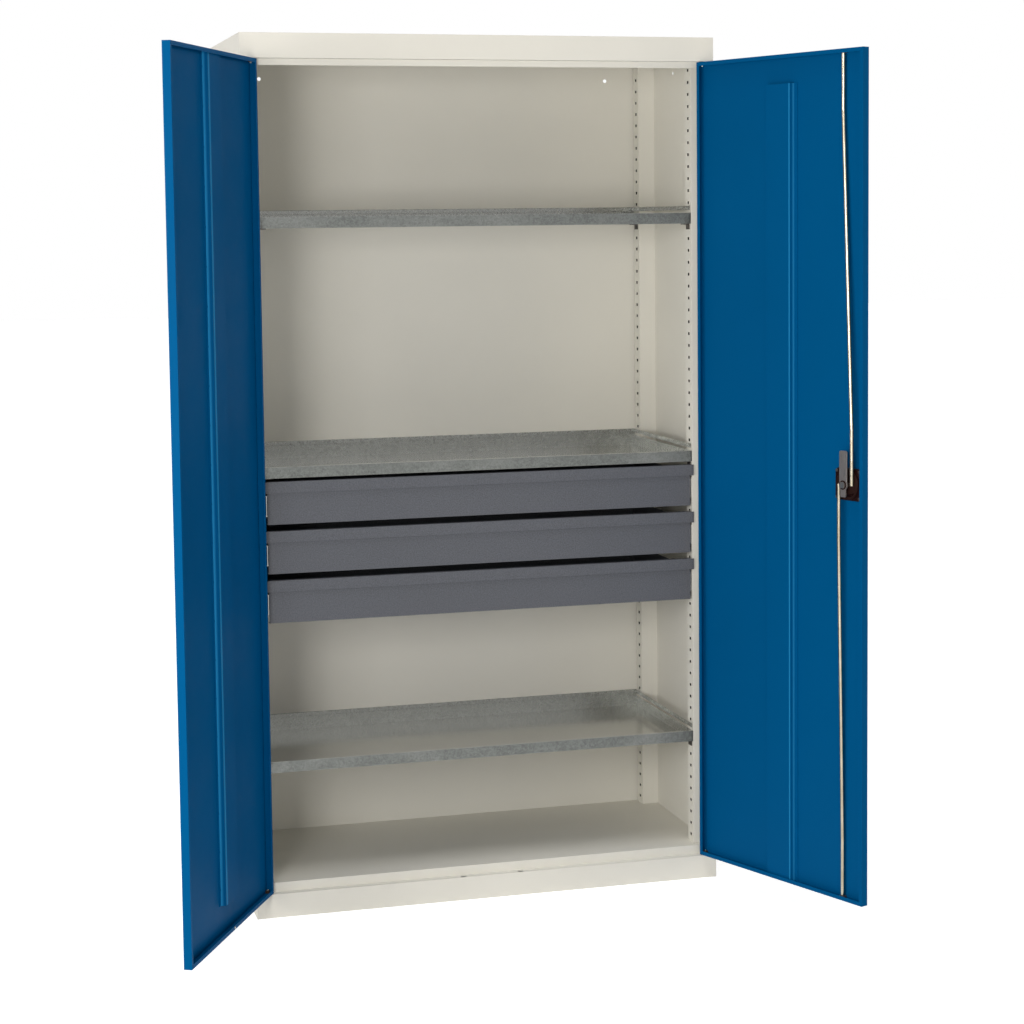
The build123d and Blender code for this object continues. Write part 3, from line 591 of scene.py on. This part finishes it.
@dataclass(frozen=True)
class MouldedPlastic(Finish):
    """Injection-moulded plastic with a fine spark-eroded grain."""

    roughness: float = 0.38
    gloss_spread: Pair = (-0.06, 0.08)
    specular: float = 0.22
    grain: Cloud = Cloud(1500.0, 2.0)
    grain_depth: float = 0.00005
    dust: Cloud = Cloud(45.0, 4.0, 0.65, (0.5, 0.8))
    dust_share: float = 0.18
    dust_factor: float = 1.6
    edge_factor: float = 2.0
    edge_share: float = 0.4
    edge_width: float = 0.0008
    edge_radius: float = 0.0006

    def lay_out(self, desk: SurfaceDesk) -> None:
        """Add the plastic's nodes to the desk.

        Args:
            desk: Desk of the material.
        """
        grain = desk.noise(self.grain)
        dust = desk.patches(self.dust, 0.0, self.dust_share)
        body = desk.blend(dust, self.colour, shaded(self.colour, self.dust_factor))
        bright = shaded(self.colour, self.edge_factor)
        desk.set("Base Color", desk.rimmed(body, self.edge_width, self.edge_share, bright))
        gloss = (self.roughness + spread for spread in self.gloss_spread)
        desk.set("Roughness", desk.ramp(grain, self.grain.band, *gloss))
        desk.set("Specular IOR Level", self.specular)
        desk.relief(grain, self.grain_depth, self.edge_radius)


def special_coat(
    kind: type[PowderCoat], base: PowderCoat, ending: str, **extra: object
) -> PowderCoat:
    """Coat of a special kind with all the values of a plain one.

    Args:
        kind: Class of the special coat.
        base: The plain coat.
        ending: What its name adds to the plain one's.
        **extra: Values that only the special kind has.

    Returns:
        The special coat.
    """
    values = {field.name: getattr(base, field.name) for field in fields(base)}
    values["name"] = f"{base.name}_{ending}"
    return kind(**values, **extra)


CARCASS_PAINT = PowderCoat(
    "carcass_paint_warm_grey",
    "carcass_paint",
    linear(228, 225, 215),
    specular=0.3,
    speckle=0.015,
    edge_factor=1.12,
)
# The walls and posts take painted shade inside the post hollows.
POST_PAINT_AND_SHADE = special_coat(PostHollowShadePaint, CARCASS_PAINT, "posts")
DOOR_PAINT = PowderCoat(
    "door_paint_blue",
    "door_paint",
    linear(0, 83, 134),
    specular=0.5,
    index=1.07,
    speckle=0.03,
    edge_factor=1.7,
)
DRAWER_PAINT = PowderCoat(
    "drawer_paint_graphite",
    "drawer_paint",
    linear(102, 104, 110),
    specular=0.25,
    specks=Cloud(420.0, 2.0, 0.7, (0.35, 0.65)),
    speckle=0.45,
    mottling=0.05,
    edge_factor=1.5,
)
GALVANISED = GalvanisedSheet("galvanised_sheet", "galvanised", linear(113, 116, 113))
ZINC_STEEL = PlatedSteel("bright_zinc_steel", "zinc_steel", linear(196, 196, 192))
DARK_STEEL = PlatedSteel(
    "blackened_steel", "dark_steel", linear(64, 62, 62), roughness=0.42, metallic=0.8
)
CAM_STEEL = PlatedSteel(
    "bronzed_cam_steel",
    "dark_steel",
    linear(38, 22, 20),
    roughness=0.4,
    metallic=0.1,
    specular=0.1,
    tarnish=linear(58, 34, 28),
)
HOOK_STEEL = PlatedSteel(
    "hook_steel", "dark_steel", linear(176, 169, 166), roughness=0.3, metallic=0.85
)
ROD_STEEL = PlatedSteel(
    "passivated_rod_steel",
    "passivated_steel",
    linear(188, 180, 162),
    roughness=0.16,
    tarnish=linear(128, 112, 70),
    tarnish_share=0.45,
)
CYLINDER_NICKEL = PlatedSteel("key_cylinder_nickel", "cylinder", linear(206, 200, 186))
LOCK_BROWN = MouldedPlastic(
    "lock_body_brown_black", "lock_body", linear(30, 11, 10), roughness=0.26
)
BUSH_BROWN = MouldedPlastic("bush_brown", "natural_nylon", linear(62, 48, 38), roughness=0.45)
BLACK_PLASTIC = MouldedPlastic("black_plastic", "black_plastic", linear(30, 30, 32))


# ---- dressing and mesh work ----


def finish_nodes(finish: Finish, nodes: Iterable[str]) -> None:
    """Dress CAD nodes in a finish.

    Args:
        finish: Their finish.
        nodes: Names of the nodes.
    """
    for node in nodes:
        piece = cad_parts[node]
        piece.data.materials.clear()
        piece.data.materials.append(finish.material())
        LOG.info("dressed %s in %s", node, finish.name)


def mesh_object(name: str, mesh: BMesh, material: Material) -> Object:
    """Make an object of a mesh.

    Args:
        name: Name of the object.
        mesh: The mesh, which is used up.
        material: Its material.

    Returns:
        The object, in the scene's collection.
    """
    data = bpy.data.meshes.new(name)
    mesh.to_mesh(data)
    mesh.free()
    data.materials.append(material)
    made = bpy.data.objects.new(name, data)
    bpy.context.scene.collection.objects.link(made)
    return made


def as_piece(name: str, mesh: BMesh, body: str, finish: Finish) -> None:
    """Turn a finished mesh into a piece that rides on a body.

    Args:
        name: Name of the piece.
        mesh: The mesh, which is used up.
        body: Body that carries it.
        finish: Its finish.
    """
    bmesh.ops.recalc_face_normals(mesh, faces=mesh.faces)
    piece = mesh_object(name, mesh, finish.material())
    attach(piece, body)
    LOG.info("built %s on %s", name, body)


def polar(radius: float, angle: float, height: float) -> Vector:
    """Point at a radius, an angle and a height round the Z axis."""
    return Vector((radius * math.cos(angle), radius * math.sin(angle), height))


def bridged(mesh: BMesh, here: Sequence[BMVert], after: Sequence[BMVert]) -> None:
    """Join two closed loops of the same length with a band of faces.

    Args:
        mesh: Mesh that takes the faces.
        here: Points of the first loop.
        after: Points of the second loop.
    """
    for k in range(len(here)):
        nxt = (k + 1) % len(here)
        mesh.faces.new([here[k], after[k], after[nxt], here[nxt]])


def turned(
    mesh: BMesh,
    profile: Sequence[Pair],
    place: Matrix,
    sides: int,
    lid: bool = True,
) -> list[BMVert]:
    """Add a turned shape to a mesh.

    Args:
        mesh: Mesh that takes the shape.
        profile: Radius and height of each ring, from the bottom to the top.
        place: Where the shape's axis foot goes; the axis is its Z.
        sides: Number of sides of each ring.
        lid: Whether a last ring that isn't a point is closed.

    Returns:
        The points of the last ring.
    """
    angles = [2 * math.pi * k / sides for k in range(sides)]
    rings = []
    for radius, height in profile:
        spots = [polar(radius, angle, height) for angle in (angles if radius > 0 else [0.0])]
        rings.append([mesh.verts.new(place @ spot) for spot in spots])
    for low, high in zip(rings, rings[1:]):
        for k in range(sides):
            after = (k + 1) % sides
            corners = [low[k], low[after]]
            corners += [high[after % len(high)], high[k % len(high)]]
            mesh.faces.new(list(dict.fromkeys(corners)))
    mesh.faces.new(rings[0])
    if lid and len(rings[-1]) > 1:
        mesh.faces.new(rings[-1])
    return rings[-1]


def ring(mesh: BMesh, profile: Sequence[Pair], place: Matrix, sides: int) -> None:
    """Add a turned shape with a bore, such as a washer.

    Args:
        mesh: Mesh that takes the shape.
        profile: Radius and height of each corner of the section, in order round it.
        place: Where the shape's axis foot goes; the axis is its Z.
        sides: Number of sides of each ring.
    """
    rows = []
    for k in range(sides):
        angle = 2 * math.pi * k / sides
        spots = [polar(radius, angle, height) for radius, height in profile]
        rows.append([mesh.verts.new(place @ spot) for spot in spots])
    for here, after in zip(rows, [*rows[1:], rows[0]]):
        bridged(mesh, here, after)


def swept(
    mesh: BMesh, section: Sequence[Pair], path: Sequence[tuple[Point, Point]]
) -> None:
    """Sweep a section along straight runs with mitred corners.

    Args:
        mesh: Mesh that takes the shape.
        section: Sideways and upward offset of each corner of the section.
        path: Points of the path, each with the level direction that sideways means there.
    """
    rows = []
    for point, side in path:
        spots = [Vector(point) + Vector(side) * u + Vector((0, 0, v)) for u, v in section]
        rows.append([mesh.verts.new(spot) for spot in spots])
    for here, after in zip(rows, rows[1:]):
        bridged(mesh, here, after)
    mesh.faces.new(rows[0])
    mesh.faces.new(list(reversed(rows[-1])))


def loop_edges(mesh: BMesh, points: Sequence[BMVert]) -> list[BMEdge]:
    """Edges of a closed loop of points, made where they are missing."""
    pairs = zip(points, [*points[1:], points[0]])
    return [mesh.edges.get(pair) or mesh.edges.new(pair) for pair in pairs]


@dataclass(frozen=True)
class PanHead:
    """Domed screw head with a cross recess; its outline is given in shares of its size."""

    radius: float
    height: float
    sides: int = 24
    dome: tuple[Pair, ...] = ((1.0, 0.0), (1.0, 0.35), (0.93, 0.68), (0.8, 0.9), (0.64, 1.0))
    arm: float = 0.5
    half_width: float = 0.13
    foot_level: float = 0.35
    foot_scale: float = 0.72

    def cross(
        self, mesh: BMesh, place: Matrix, level: float, scale: float
    ) -> list[BMVert]:
        """Outline of the recess at one level.

        Args:
            mesh: Mesh that takes the points.
            place: Where the head's foot goes.
            level: Share of the head's height.
            scale: Size of the outline against that at the mouth.

        Returns:
            The outline's points, in order.
        """
        arm, half = self.arm * self.radius * scale, self.half_width * self.radius * scale
        loop = []
        for quarter in range(4):
            turn = Matrix.Rotation(quarter * RIGHT_ANGLE, 4, "Z")
            for x, y in ((arm, -half), (arm, half), (half, half)):
                spot = turn @ Vector((x, y, self.height * level))
                loop.append(mesh.verts.new(place @ spot))
        return loop

    def add(self, mesh: BMesh, place: Matrix) -> None:
        """Add the head to a mesh.

        Args:
            mesh: Mesh that takes the head.
            place: Where the head's foot goes; Z points out of the head.
        """
        profile = [(self.radius * out, self.height * up) for out, up in self.dome]
        rim = turned(mesh, profile, place, self.sides, lid=False)
        mouth = self.cross(mesh, place, 1.0, 1.0)
        foot = self.cross(mesh, place, self.foot_level, self.foot_scale)
        bridged(mesh, mouth, foot)
        mesh.faces.new(foot)
        edges = loop_edges(mesh, rim) + loop_edges(mesh, mouth)
        bmesh.ops.triangle_fill(mesh, use_beauty=True, use_dissolve=False, edges=edges)


# ---- sub-assemblies -------------------------------------------------------------------


class Side(Enum):
    """Left or right, as a person facing the doors sees them."""

    LEFT = "left"
    RIGHT = "right"


@dataclass(frozen=True)
class LeafPlane:
    """Plane of one door as it stands at rest, through its pivot; the angle is from shut."""

    side: Side
    angle: float
    pivot: Pair = (0.4775, -0.205)
    pivot_setback: float = 0.005

    def matrix(self) -> Matrix:
        """Place of the plane.

        Returns:
            Matrix from (along, setback, height) to the model's frame.
        """
        sign = 1 if self.side is Side.RIGHT else -1
        turn = math.radians(180 + self.angle if self.side is Side.RIGHT else -self.angle)
        along = Vector((math.cos(turn), math.sin(turn), 0))
        inside = Vector((-along.y, along.x, 0)) * -sign
        matrix = Matrix((along, inside, Vector((0, 0, 1)))).transposed().to_4x4()
        start = Vector((sign * self.pivot[0], self.pivot[1], 0))
        matrix.translation = start - inside * self.pivot_setback
        return matrix

    def stud(self, along: float, setback: float, height: float) -> Matrix:
        """Place of a small part on the door's inner side.

        Args:
            along: Distance from the pivot towards the free edge.
            setback: Distance inside the outer face.
            height: Height above the floor.

        Returns:
            Matrix whose Z points out of the inner side at that spot.
        """
        plane = self.matrix()
        turn = plane.col[1].to_3d().to_track_quat("Z", "Y").to_matrix().to_4x4()
        return Matrix.Translation(plane @ Vector((along, setback, height))) @ turn


@dataclass
class Carcass:
    """Side walls, top, floor pan, back and slotted posts."""

    shell: tuple[str, ...] = ("top_panel", "floor_pan", "back_panel")
    walls: tuple[str, ...] = ("left_side_panel", "right_side_panel")
    posts: tuple[str, ...] = (
        "front_left_post", "front_right_post", "rear_left_post", "rear_right_post",
    )
    pins: tuple[str, ...] = ("hinge_pins",)

    def build(self) -> None:
        """Dress the carcass."""
        finish_nodes(CARCASS_PAINT, self.shell)
        finish_nodes(POST_PAINT_AND_SHADE, self.walls + self.posts)
        finish_nodes(ZINC_STEEL, self.pins)


@dataclass
class Shelving:
    """Three shelf trays on four clips each, with hemmed upstands."""

    levels: tuple[str, ...] = ("upper", "middle", "lower")
    sheet: float = 0.0009
    hem_height: float = 0.009
    hem_thickness: float = 0.0009
    hem_setback: float = 0.004
    cut_edge: float = 0.0004
    bend_share: float = 0.6
    bend_drops: Pair = (0.0001, 0.0006)

    def hem(self, level: str) -> None:
        """Fold a hem inward over the upstands of one tray.

        Args:
            level: Name of the tray's level.
        """
        low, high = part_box(f"{level}_shelf")
        right, back = high.x - self.sheet, high.y - self.sheet
        left, front = low.x + self.sheet, low.y + self.hem_setback
        thick, tall = self.hem_thickness, self.hem_height
        section = (
            (0.0, 0.0),
            (0.0, -tall),
            (thick * self.bend_share, -tall),
            (thick, -tall + self.cut_edge),
            (thick, -self.bend_drops[1]),
            (thick * self.bend_share, -self.bend_drops[0]),
        )
        path = (
            ((right, front, high.z), (-1, 0, 0)),
            ((right, back, high.z), (-1, -1, 0)),
            ((left, back, high.z), (1, -1, 0)),
            ((left, front, high.z), (1, 0, 0)),
        )
        mesh = bmesh.new()
        swept(mesh, section, path)
        as_piece(f"{level}_shelf_hem", mesh, "cabinet", GALVANISED)

    def build(self) -> None:
        """Dress the trays and their clips, and fold the hems."""
        finish_nodes(GALVANISED, (f"{level}_shelf" for level in self.levels))
        finish_nodes(DARK_STEEL, (f"{level}_shelf_clips" for level in self.levels))
        for level in self.levels:
            self.hem(level)


@dataclass
class DrawerStack:
    """Three drawers on telescopic rails."""

    count: int = 3
    painted: tuple[str, ...] = ("front", "box")
    plated: tuple[str, ...] = ("inner_rails", "middle_rails", "fixed_rails")

    def build(self) -> None:
        """Dress the drawers and their rails."""
        for number in range(1, self.count + 1):
            finish_nodes(DRAWER_PAINT, (f"drawer_{number}_{part}" for part in self.painted))
            finish_nodes(ZINC_STEEL, (f"drawer_{number}_{part}" for part in self.plated))


@dataclass
class Door:
    """One door leaf: pan, stiffener, pivot bushes and the welds that hold it together."""

    leaf: LeafPlane
    foot: float
    head: float
    pale_folds: tuple[Pair, ...]
    has_rivet: bool
    middle: float = 0.235
    flange_offset: float = 0.0415
    flange_face: float = 0.0024
    bottom: float = 0.0505
    top: float = 1.7485
    hinge_edge: float = -0.006
    free_edge: float = 0.476
    return_face: float = 0.016
    return_width: float = 0.008
    weld_pitch: float = 0.075
    weld_margin: float = 0.03
    weld_dimple: tuple[Pair, ...] = (
        (0.0031, -0.0003), (0.0031, 0.00005), (0.0027, 0.0002), (0.002, 0.00004), (0, 0.00002),
    )
    weld_sides: int = 16
    bead: tuple[Pair, ...] = (
        (0.0011, -0.0004), (0.00105, 0.00012), (0.0007, 0.00036), (0, 0.00042),
    )
    bead_sides: int = 12
    bead_count: int = 8
    bead_inset: float = 0.0014
    rivet_head: tuple[Pair, ...] = (
        (0.0024, -0.0004), (0.0024, 0.0003), (0.0021, 0.0008), (0.0012, 0.0011), (0, 0.0012),
    )
    rivet_sides: int = 24

    def body(self) -> str:
        """Name of the body that the leaf is."""
        return f"{self.leaf.side.value}_door"

    def part(self, name: str) -> str:
        """Full name of one of the leaf's nodes or pieces."""
        return f"{self.body()}_{name}"

    def spot_welds(self) -> None:
        """Dimple both flanges of the stiffener with a row of spot welds."""
        mesh = bmesh.new()
        count = int((self.head - self.foot - self.weld_margin) / self.weld_pitch) + 1
        start = (self.foot + self.head - (count - 1) * self.weld_pitch) / 2
        for k in range(count):
            for sign in (-1, 1):
                along = self.middle + sign * self.flange_offset
                place = self.leaf.stud(along, self.flange_face, start + k * self.weld_pitch)
                turned(mesh, self.weld_dimple, place, self.weld_sides)
        as_piece(self.part("spot_welds"), mesh, self.body(), DOOR_PAINT)

    def corner_welds(self) -> None:
        """Close the mitres of the return with short painted weld beads."""
        mesh = bmesh.new()
        length = self.return_width - 2 * self.bead_inset
        for along, inward in ((self.hinge_edge, 1), (self.free_edge, -1)):
            for height, up in ((self.bottom, 1), (self.top, -1)):
                for k in range(self.bead_count):
                    reach = self.bead_inset + length * k / (self.bead_count - 1)
                    place = self.leaf.stud(
                        along + inward * reach, self.return_face, height + up * reach
                    )
                    turned(mesh, self.bead, place, self.bead_sides)
        as_piece(self.part("corner_welds"), mesh, self.body(), DOOR_PAINT)

    def rivet(self) -> None:
        """Set a bright rivet in the middle of the bottom return."""
        mesh = bmesh.new()
        place = self.leaf.stud(self.middle, self.return_face, self.bottom + self.return_width / 2)
        turned(mesh, self.rivet_head, place, self.rivet_sides)
        as_piece(self.part("rivet"), mesh, self.body(), ZINC_STEEL)

    def rib_paint(self) -> PowderCoat:
        """The door's paint as it lies on the folded stiffener.

        Returns:
            The paint, with painted highlights along its folds.
        """
        plane = self.leaf.matrix()
        return special_coat(
            FoldHighlightPaint,
            DOOR_PAINT,
            # This material carries the painted highlights on the stiffener's folds.
            f"{self.leaf.side.value}_rib",
            start=tuple(plane.translation),
            axis=tuple(plane.col[0].to_3d()),
            folds=self.pale_folds,
        )

    def build(self) -> None:
        """Dress the leaf and weld it."""
        finish_nodes(DOOR_PAINT, [self.part("panel")])
        finish_nodes(self.rib_paint(), [self.part("stiffener")])
        finish_nodes(BUSH_BROWN, [self.part("bushes")])
        self.spot_welds()
        self.corner_welds()
        if self.has_rivet:
            self.rivet()


@dataclass
class LockWork:
    """Lock on the right door: housing, cam, hook, rods, knob and key cylinder."""

    leaf: LeafPlane
    along: float = 0.432
    height: float = 0.8935
    housing_face: float = 0.0112
    hook_face: float = 0.0252
    screw: PanHead = PanHead(0.0031, 0.0018)
    screw_reach: Pair = (0.0305, 0.0265)
    screw_sink: float = 0.0002
    screw_turns: Pair = (0.4, 0.9)
    washer: tuple[Pair, ...] = (
        (0.00665, 0.0), (0.0092, 0.0), (0.0092, 0.0007), (0.0089, 0.001), (0.00665, 0.001),
    )
    washer_sides: int = 40

    def housing_screws(self) -> None:
        """Put a pan-head screw in each corner of the housing."""
        mesh = bmesh.new()
        for sideways in (-1, 1):
            for up in (-1, 1):
                place = self.leaf.stud(
                    self.along + sideways * self.screw_reach[0],
                    self.housing_face - self.screw_sink,
                    self.height + up * self.screw_reach[1],
                )
                angle = self.screw_turns[0] * sideways + self.screw_turns[1] * up
                self.screw.add(mesh, place @ Matrix.Rotation(angle, 4, "Z"))
        as_piece("lock_housing_screws", mesh, "right_door", DARK_STEEL)

    def hook_washer(self) -> None:
        """Lay a dark washer round the bolt that holds the hook."""
        mesh = bmesh.new()
        place = self.leaf.stud(self.along, self.hook_face, self.height)
        ring(mesh, self.washer, place, self.washer_sides)
        as_piece("hook_washer", mesh, "lock_cam", CAM_STEEL)

    def build(self) -> None:
        """Dress the lock's parts and add its small fasteners."""
        finish_nodes(LOCK_BROWN, ["lock_housing"])
        finish_nodes(BLACK_PLASTIC, ["lock_rosette", "door_knob", "rod_guides"])
        finish_nodes(CYLINDER_NICKEL, ["key_cylinder"])
        finish_nodes(ZINC_STEEL, ["lock_spindle", "hook_bolt"])
        finish_nodes(CAM_STEEL, ["scroll_cam"])
        finish_nodes(HOOK_STEEL, ["lock_hook"])
        finish_nodes(ROD_STEEL, ["upper_rod", "lower_rod"])
        self.housing_screws()
        self.hook_washer()


# ---- stage ----


@dataclass(frozen=True)
class Lamp:
    """A lamp of the studio."""

    name: str

    def hang(self, light: Light, spot: Point, aim: Vector) -> Object:
        """Hang the lamp.

        Args:
            light: Its light.
            spot: Where it hangs.
            aim: Direction that it shines in.

        Returns:
            The lamp as an object.
        """
        light.color = LAMP_TINT
        lamp = bpy.data.objects.new(self.name, light)
        turn = aim.to_track_quat("-Z", "Y").to_matrix().to_4x4()
        lamp.matrix_world = Matrix.Translation(spot) @ turn
        bpy.context.scene.collection.objects.link(lamp)
        return lamp

    def build(self) -> None:
        """Make the lamp's light and hang it."""
        raise NotImplementedError


@dataclass(frozen=True)
class Softbox(Lamp):
    """Flat lamp; its power is in watts."""

    spot: Point
    target: Point
    size: Pair
    power: float

    def build(self) -> None:
        """Make the lamp's light and hang it where the camera doesn't see it."""
        light = bpy.data.lights.new(self.name, "AREA")
        light.shape = "RECTANGLE"
        light.size, light.size_y = self.size
        light.energy = self.power
        lamp = self.hang(light, self.spot, Vector(self.target) - Vector(self.spot))
        lamp.visible_camera = False


@dataclass(frozen=True)
class Sunlight(Lamp):
    """Broad parallel lamp; its spread is its apparent size in degrees."""

    aim: Point
    strength: float
    spread: float

    def build(self) -> None:
        """Make the lamp's light and hang it."""
        light = bpy.data.lights.new(self.name, "SUN")
        light.energy = self.strength
        light.angle = math.radians(self.spread)
        self.hang(light, (0.0, 0.0, 0.0), Vector(self.aim))


@dataclass
class Studio:
    """Camera, lamps, world and the plain floor."""

    eye: Point = (-1.1755, -4.66036, 1.41717)
    yaw: float = 0.26928
    pitch: float = 0.08357
    roll: float = -0.01133
    focal_pixels: float = 2231.2
    shift_pixels: float = -102.4
    sensor: float = 36.0
    sight: float = 200.0
    surround: float = 0.24
    floor_side: float = 60.0
    floor_colour: Colour = (0.9, 0.9, 0.9)
    floor_glow: float = 0.56
    plinth_half: Pair = (0.5, 0.21)
    lamps: tuple[Lamp, ...] = (
        Softbox("key_lamp", (-1.95, -3.5, 1.35), (0.1, -0.2, 0.9), (1.0, 1.2), 57.0),
        Softbox("side_lamp", (-3.1, -2.2, 1.3), (0.5, -0.4, 0.9), (1.0, 1.4), 34.0),
        Sunlight("fill_lamp", (-1.0, 0.7, -0.1), 0.6, 30.0),
        Sunlight("top_lamp", (0.1, 0.25, -1.0), 1.0, 35.0),
        Sunlight("rear_lamp", (-0.3, -1.0, -0.25), 1.1, 40.0),
    )

    def camera(self) -> None:
        """Set up the camera and make it the scene's."""
        forward = Vector(
            (
                math.sin(self.yaw) * math.cos(self.pitch),
                math.cos(self.yaw) * math.cos(self.pitch),
                -math.sin(self.pitch),
            )
        )
        level = Vector((math.cos(self.yaw), -math.sin(self.yaw), 0))
        upright = level.cross(forward)
        right = level * math.cos(self.roll) + upright * math.sin(self.roll)
        up = upright * math.cos(self.roll) - level * math.sin(self.roll)
        data = bpy.data.cameras.new("studio_camera")
        data.sensor_width = self.sensor
        data.sensor_fit = "HORIZONTAL"
        data.lens = self.focal_pixels / IMAGE_SIDE * self.sensor
        data.shift_y = self.shift_pixels / IMAGE_SIDE
        data.clip_end = self.sight
        camera = bpy.data.objects.new("studio_camera", data)
        turn = Matrix((right, up, -forward)).transposed()
        camera.matrix_world = Matrix.Translation(self.eye) @ turn.to_4x4()
        bpy.context.scene.collection.objects.link(camera)
        bpy.context.scene.camera = camera

    def world(self) -> None:
        """Set up surroundings that look white and light the object softly."""
        world = bpy.data.worlds.new("studio_world")
        desk = NodeDesk(world)
        glows = [
            desk.add("ShaderNodeBackground", {"Color": colour, "Strength": strength})
            for colour, strength in ((LAMP_TINT, self.surround), (WHITE, 1.0))
        ]
        inputs = [desk.seen(), *(glow.outputs["Background"] for glow in glows)]
        mix = desk.add("ShaderNodeMixShader", dict(enumerate(inputs)))
        desk.add("ShaderNodeOutputWorld", {"Surface": mix.outputs["Shader"]})
        bpy.context.scene.world = world

    def outside_plinth(self, desk: NodeDesk) -> Socket:
        """Tell the open floor from the floor under the carcass.

        Args:
            desk: Desk of the floor's material.

        Returns:
            Number that is 0 under the carcass and 1 on the rest of the floor.
        """
        place = desk.add("ShaderNodeTexCoord").outputs["Object"]
        past = []
        for name, half in zip("XY", self.plinth_half):
            distance = desk.calculate("ABSOLUTE", desk.axis(place, name))
            past.append(desk.calculate("GREATER_THAN", distance, half))
        return desk.calculate("MAXIMUM", *past)

    def floor_material(self) -> Material:
        """Matt white that glows only for the rays that show it.

        Returns:
            The material.
        """
        material = bpy.data.materials.new("studio_floor_white")
        desk = NodeDesk(material)
        shown = desk.calculate("MULTIPLY", desk.seen(), self.outside_plinth(desk))
        strength = desk.calculate("MULTIPLY", shown, self.floor_glow)
        matt = desk.add("ShaderNodeBsdfDiffuse", {"Color": self.floor_colour})
        glow = desk.add("ShaderNodeEmission", {"Color": WHITE, "Strength": strength})
        inputs = {0: matt.outputs["BSDF"], 1: glow.outputs["Emission"]}
        both = desk.add("ShaderNodeAddShader", inputs)
        desk.add("ShaderNodeOutputMaterial", {"Surface": both.outputs["Shader"]})
        return material

    def floor(self) -> None:
        """Lay a plain pale floor that keeps the cabinet's soft shadow."""
        mesh = bmesh.new()
        half = self.floor_side / 2
        corners = ((-half, -half), (half, -half), (half, half), (-half, half))
        mesh.faces.new([mesh.verts.new((x, y, 0.0)) for x, y in corners])
        mesh_object("studio_floor", mesh, self.floor_material())

    def build(self) -> None:
        """Set up the whole stage."""
        self.camera()
        self.world()
        for lamp in self.lamps:
            lamp.build()
        self.floor()
        bpy.context.scene.view_settings.view_transform = "Standard"
        LOG.info("stage is set")


def main() -> None:
    """Build every sub-assembly in order."""
    logging.basicConfig(level=logging.INFO, format="%(name)s: %(message)s")
    left_leaf = LeafPlane(Side.LEFT, angle=117.5)
    right_leaf = LeafPlane(Side.RIGHT, angle=111.5)
    # Fold lines and half widths where each stiffener gets a painted highlight.
    left_fold_highlights = ((0.2735, 0.0012), (0.2635, 0.0035))
    right_fold_highlights = ((0.2668, 0.001), (0.2721, 0.0))
    assemblies = (
        Studio(),
        Carcass(),
        Shelving(),
        DrawerStack(),
        Door(left_leaf, foot=0.1087, head=1.7473, pale_folds=left_fold_highlights, has_rivet=True),
        Door(right_leaf, foot=0.0517, head=1.6903, pale_folds=right_fold_highlights, has_rivet=False),
        LockWork(right_leaf),
    )
    for assembly in assemblies:
        assembly.build()


if __name__ == "__main__":
    main()
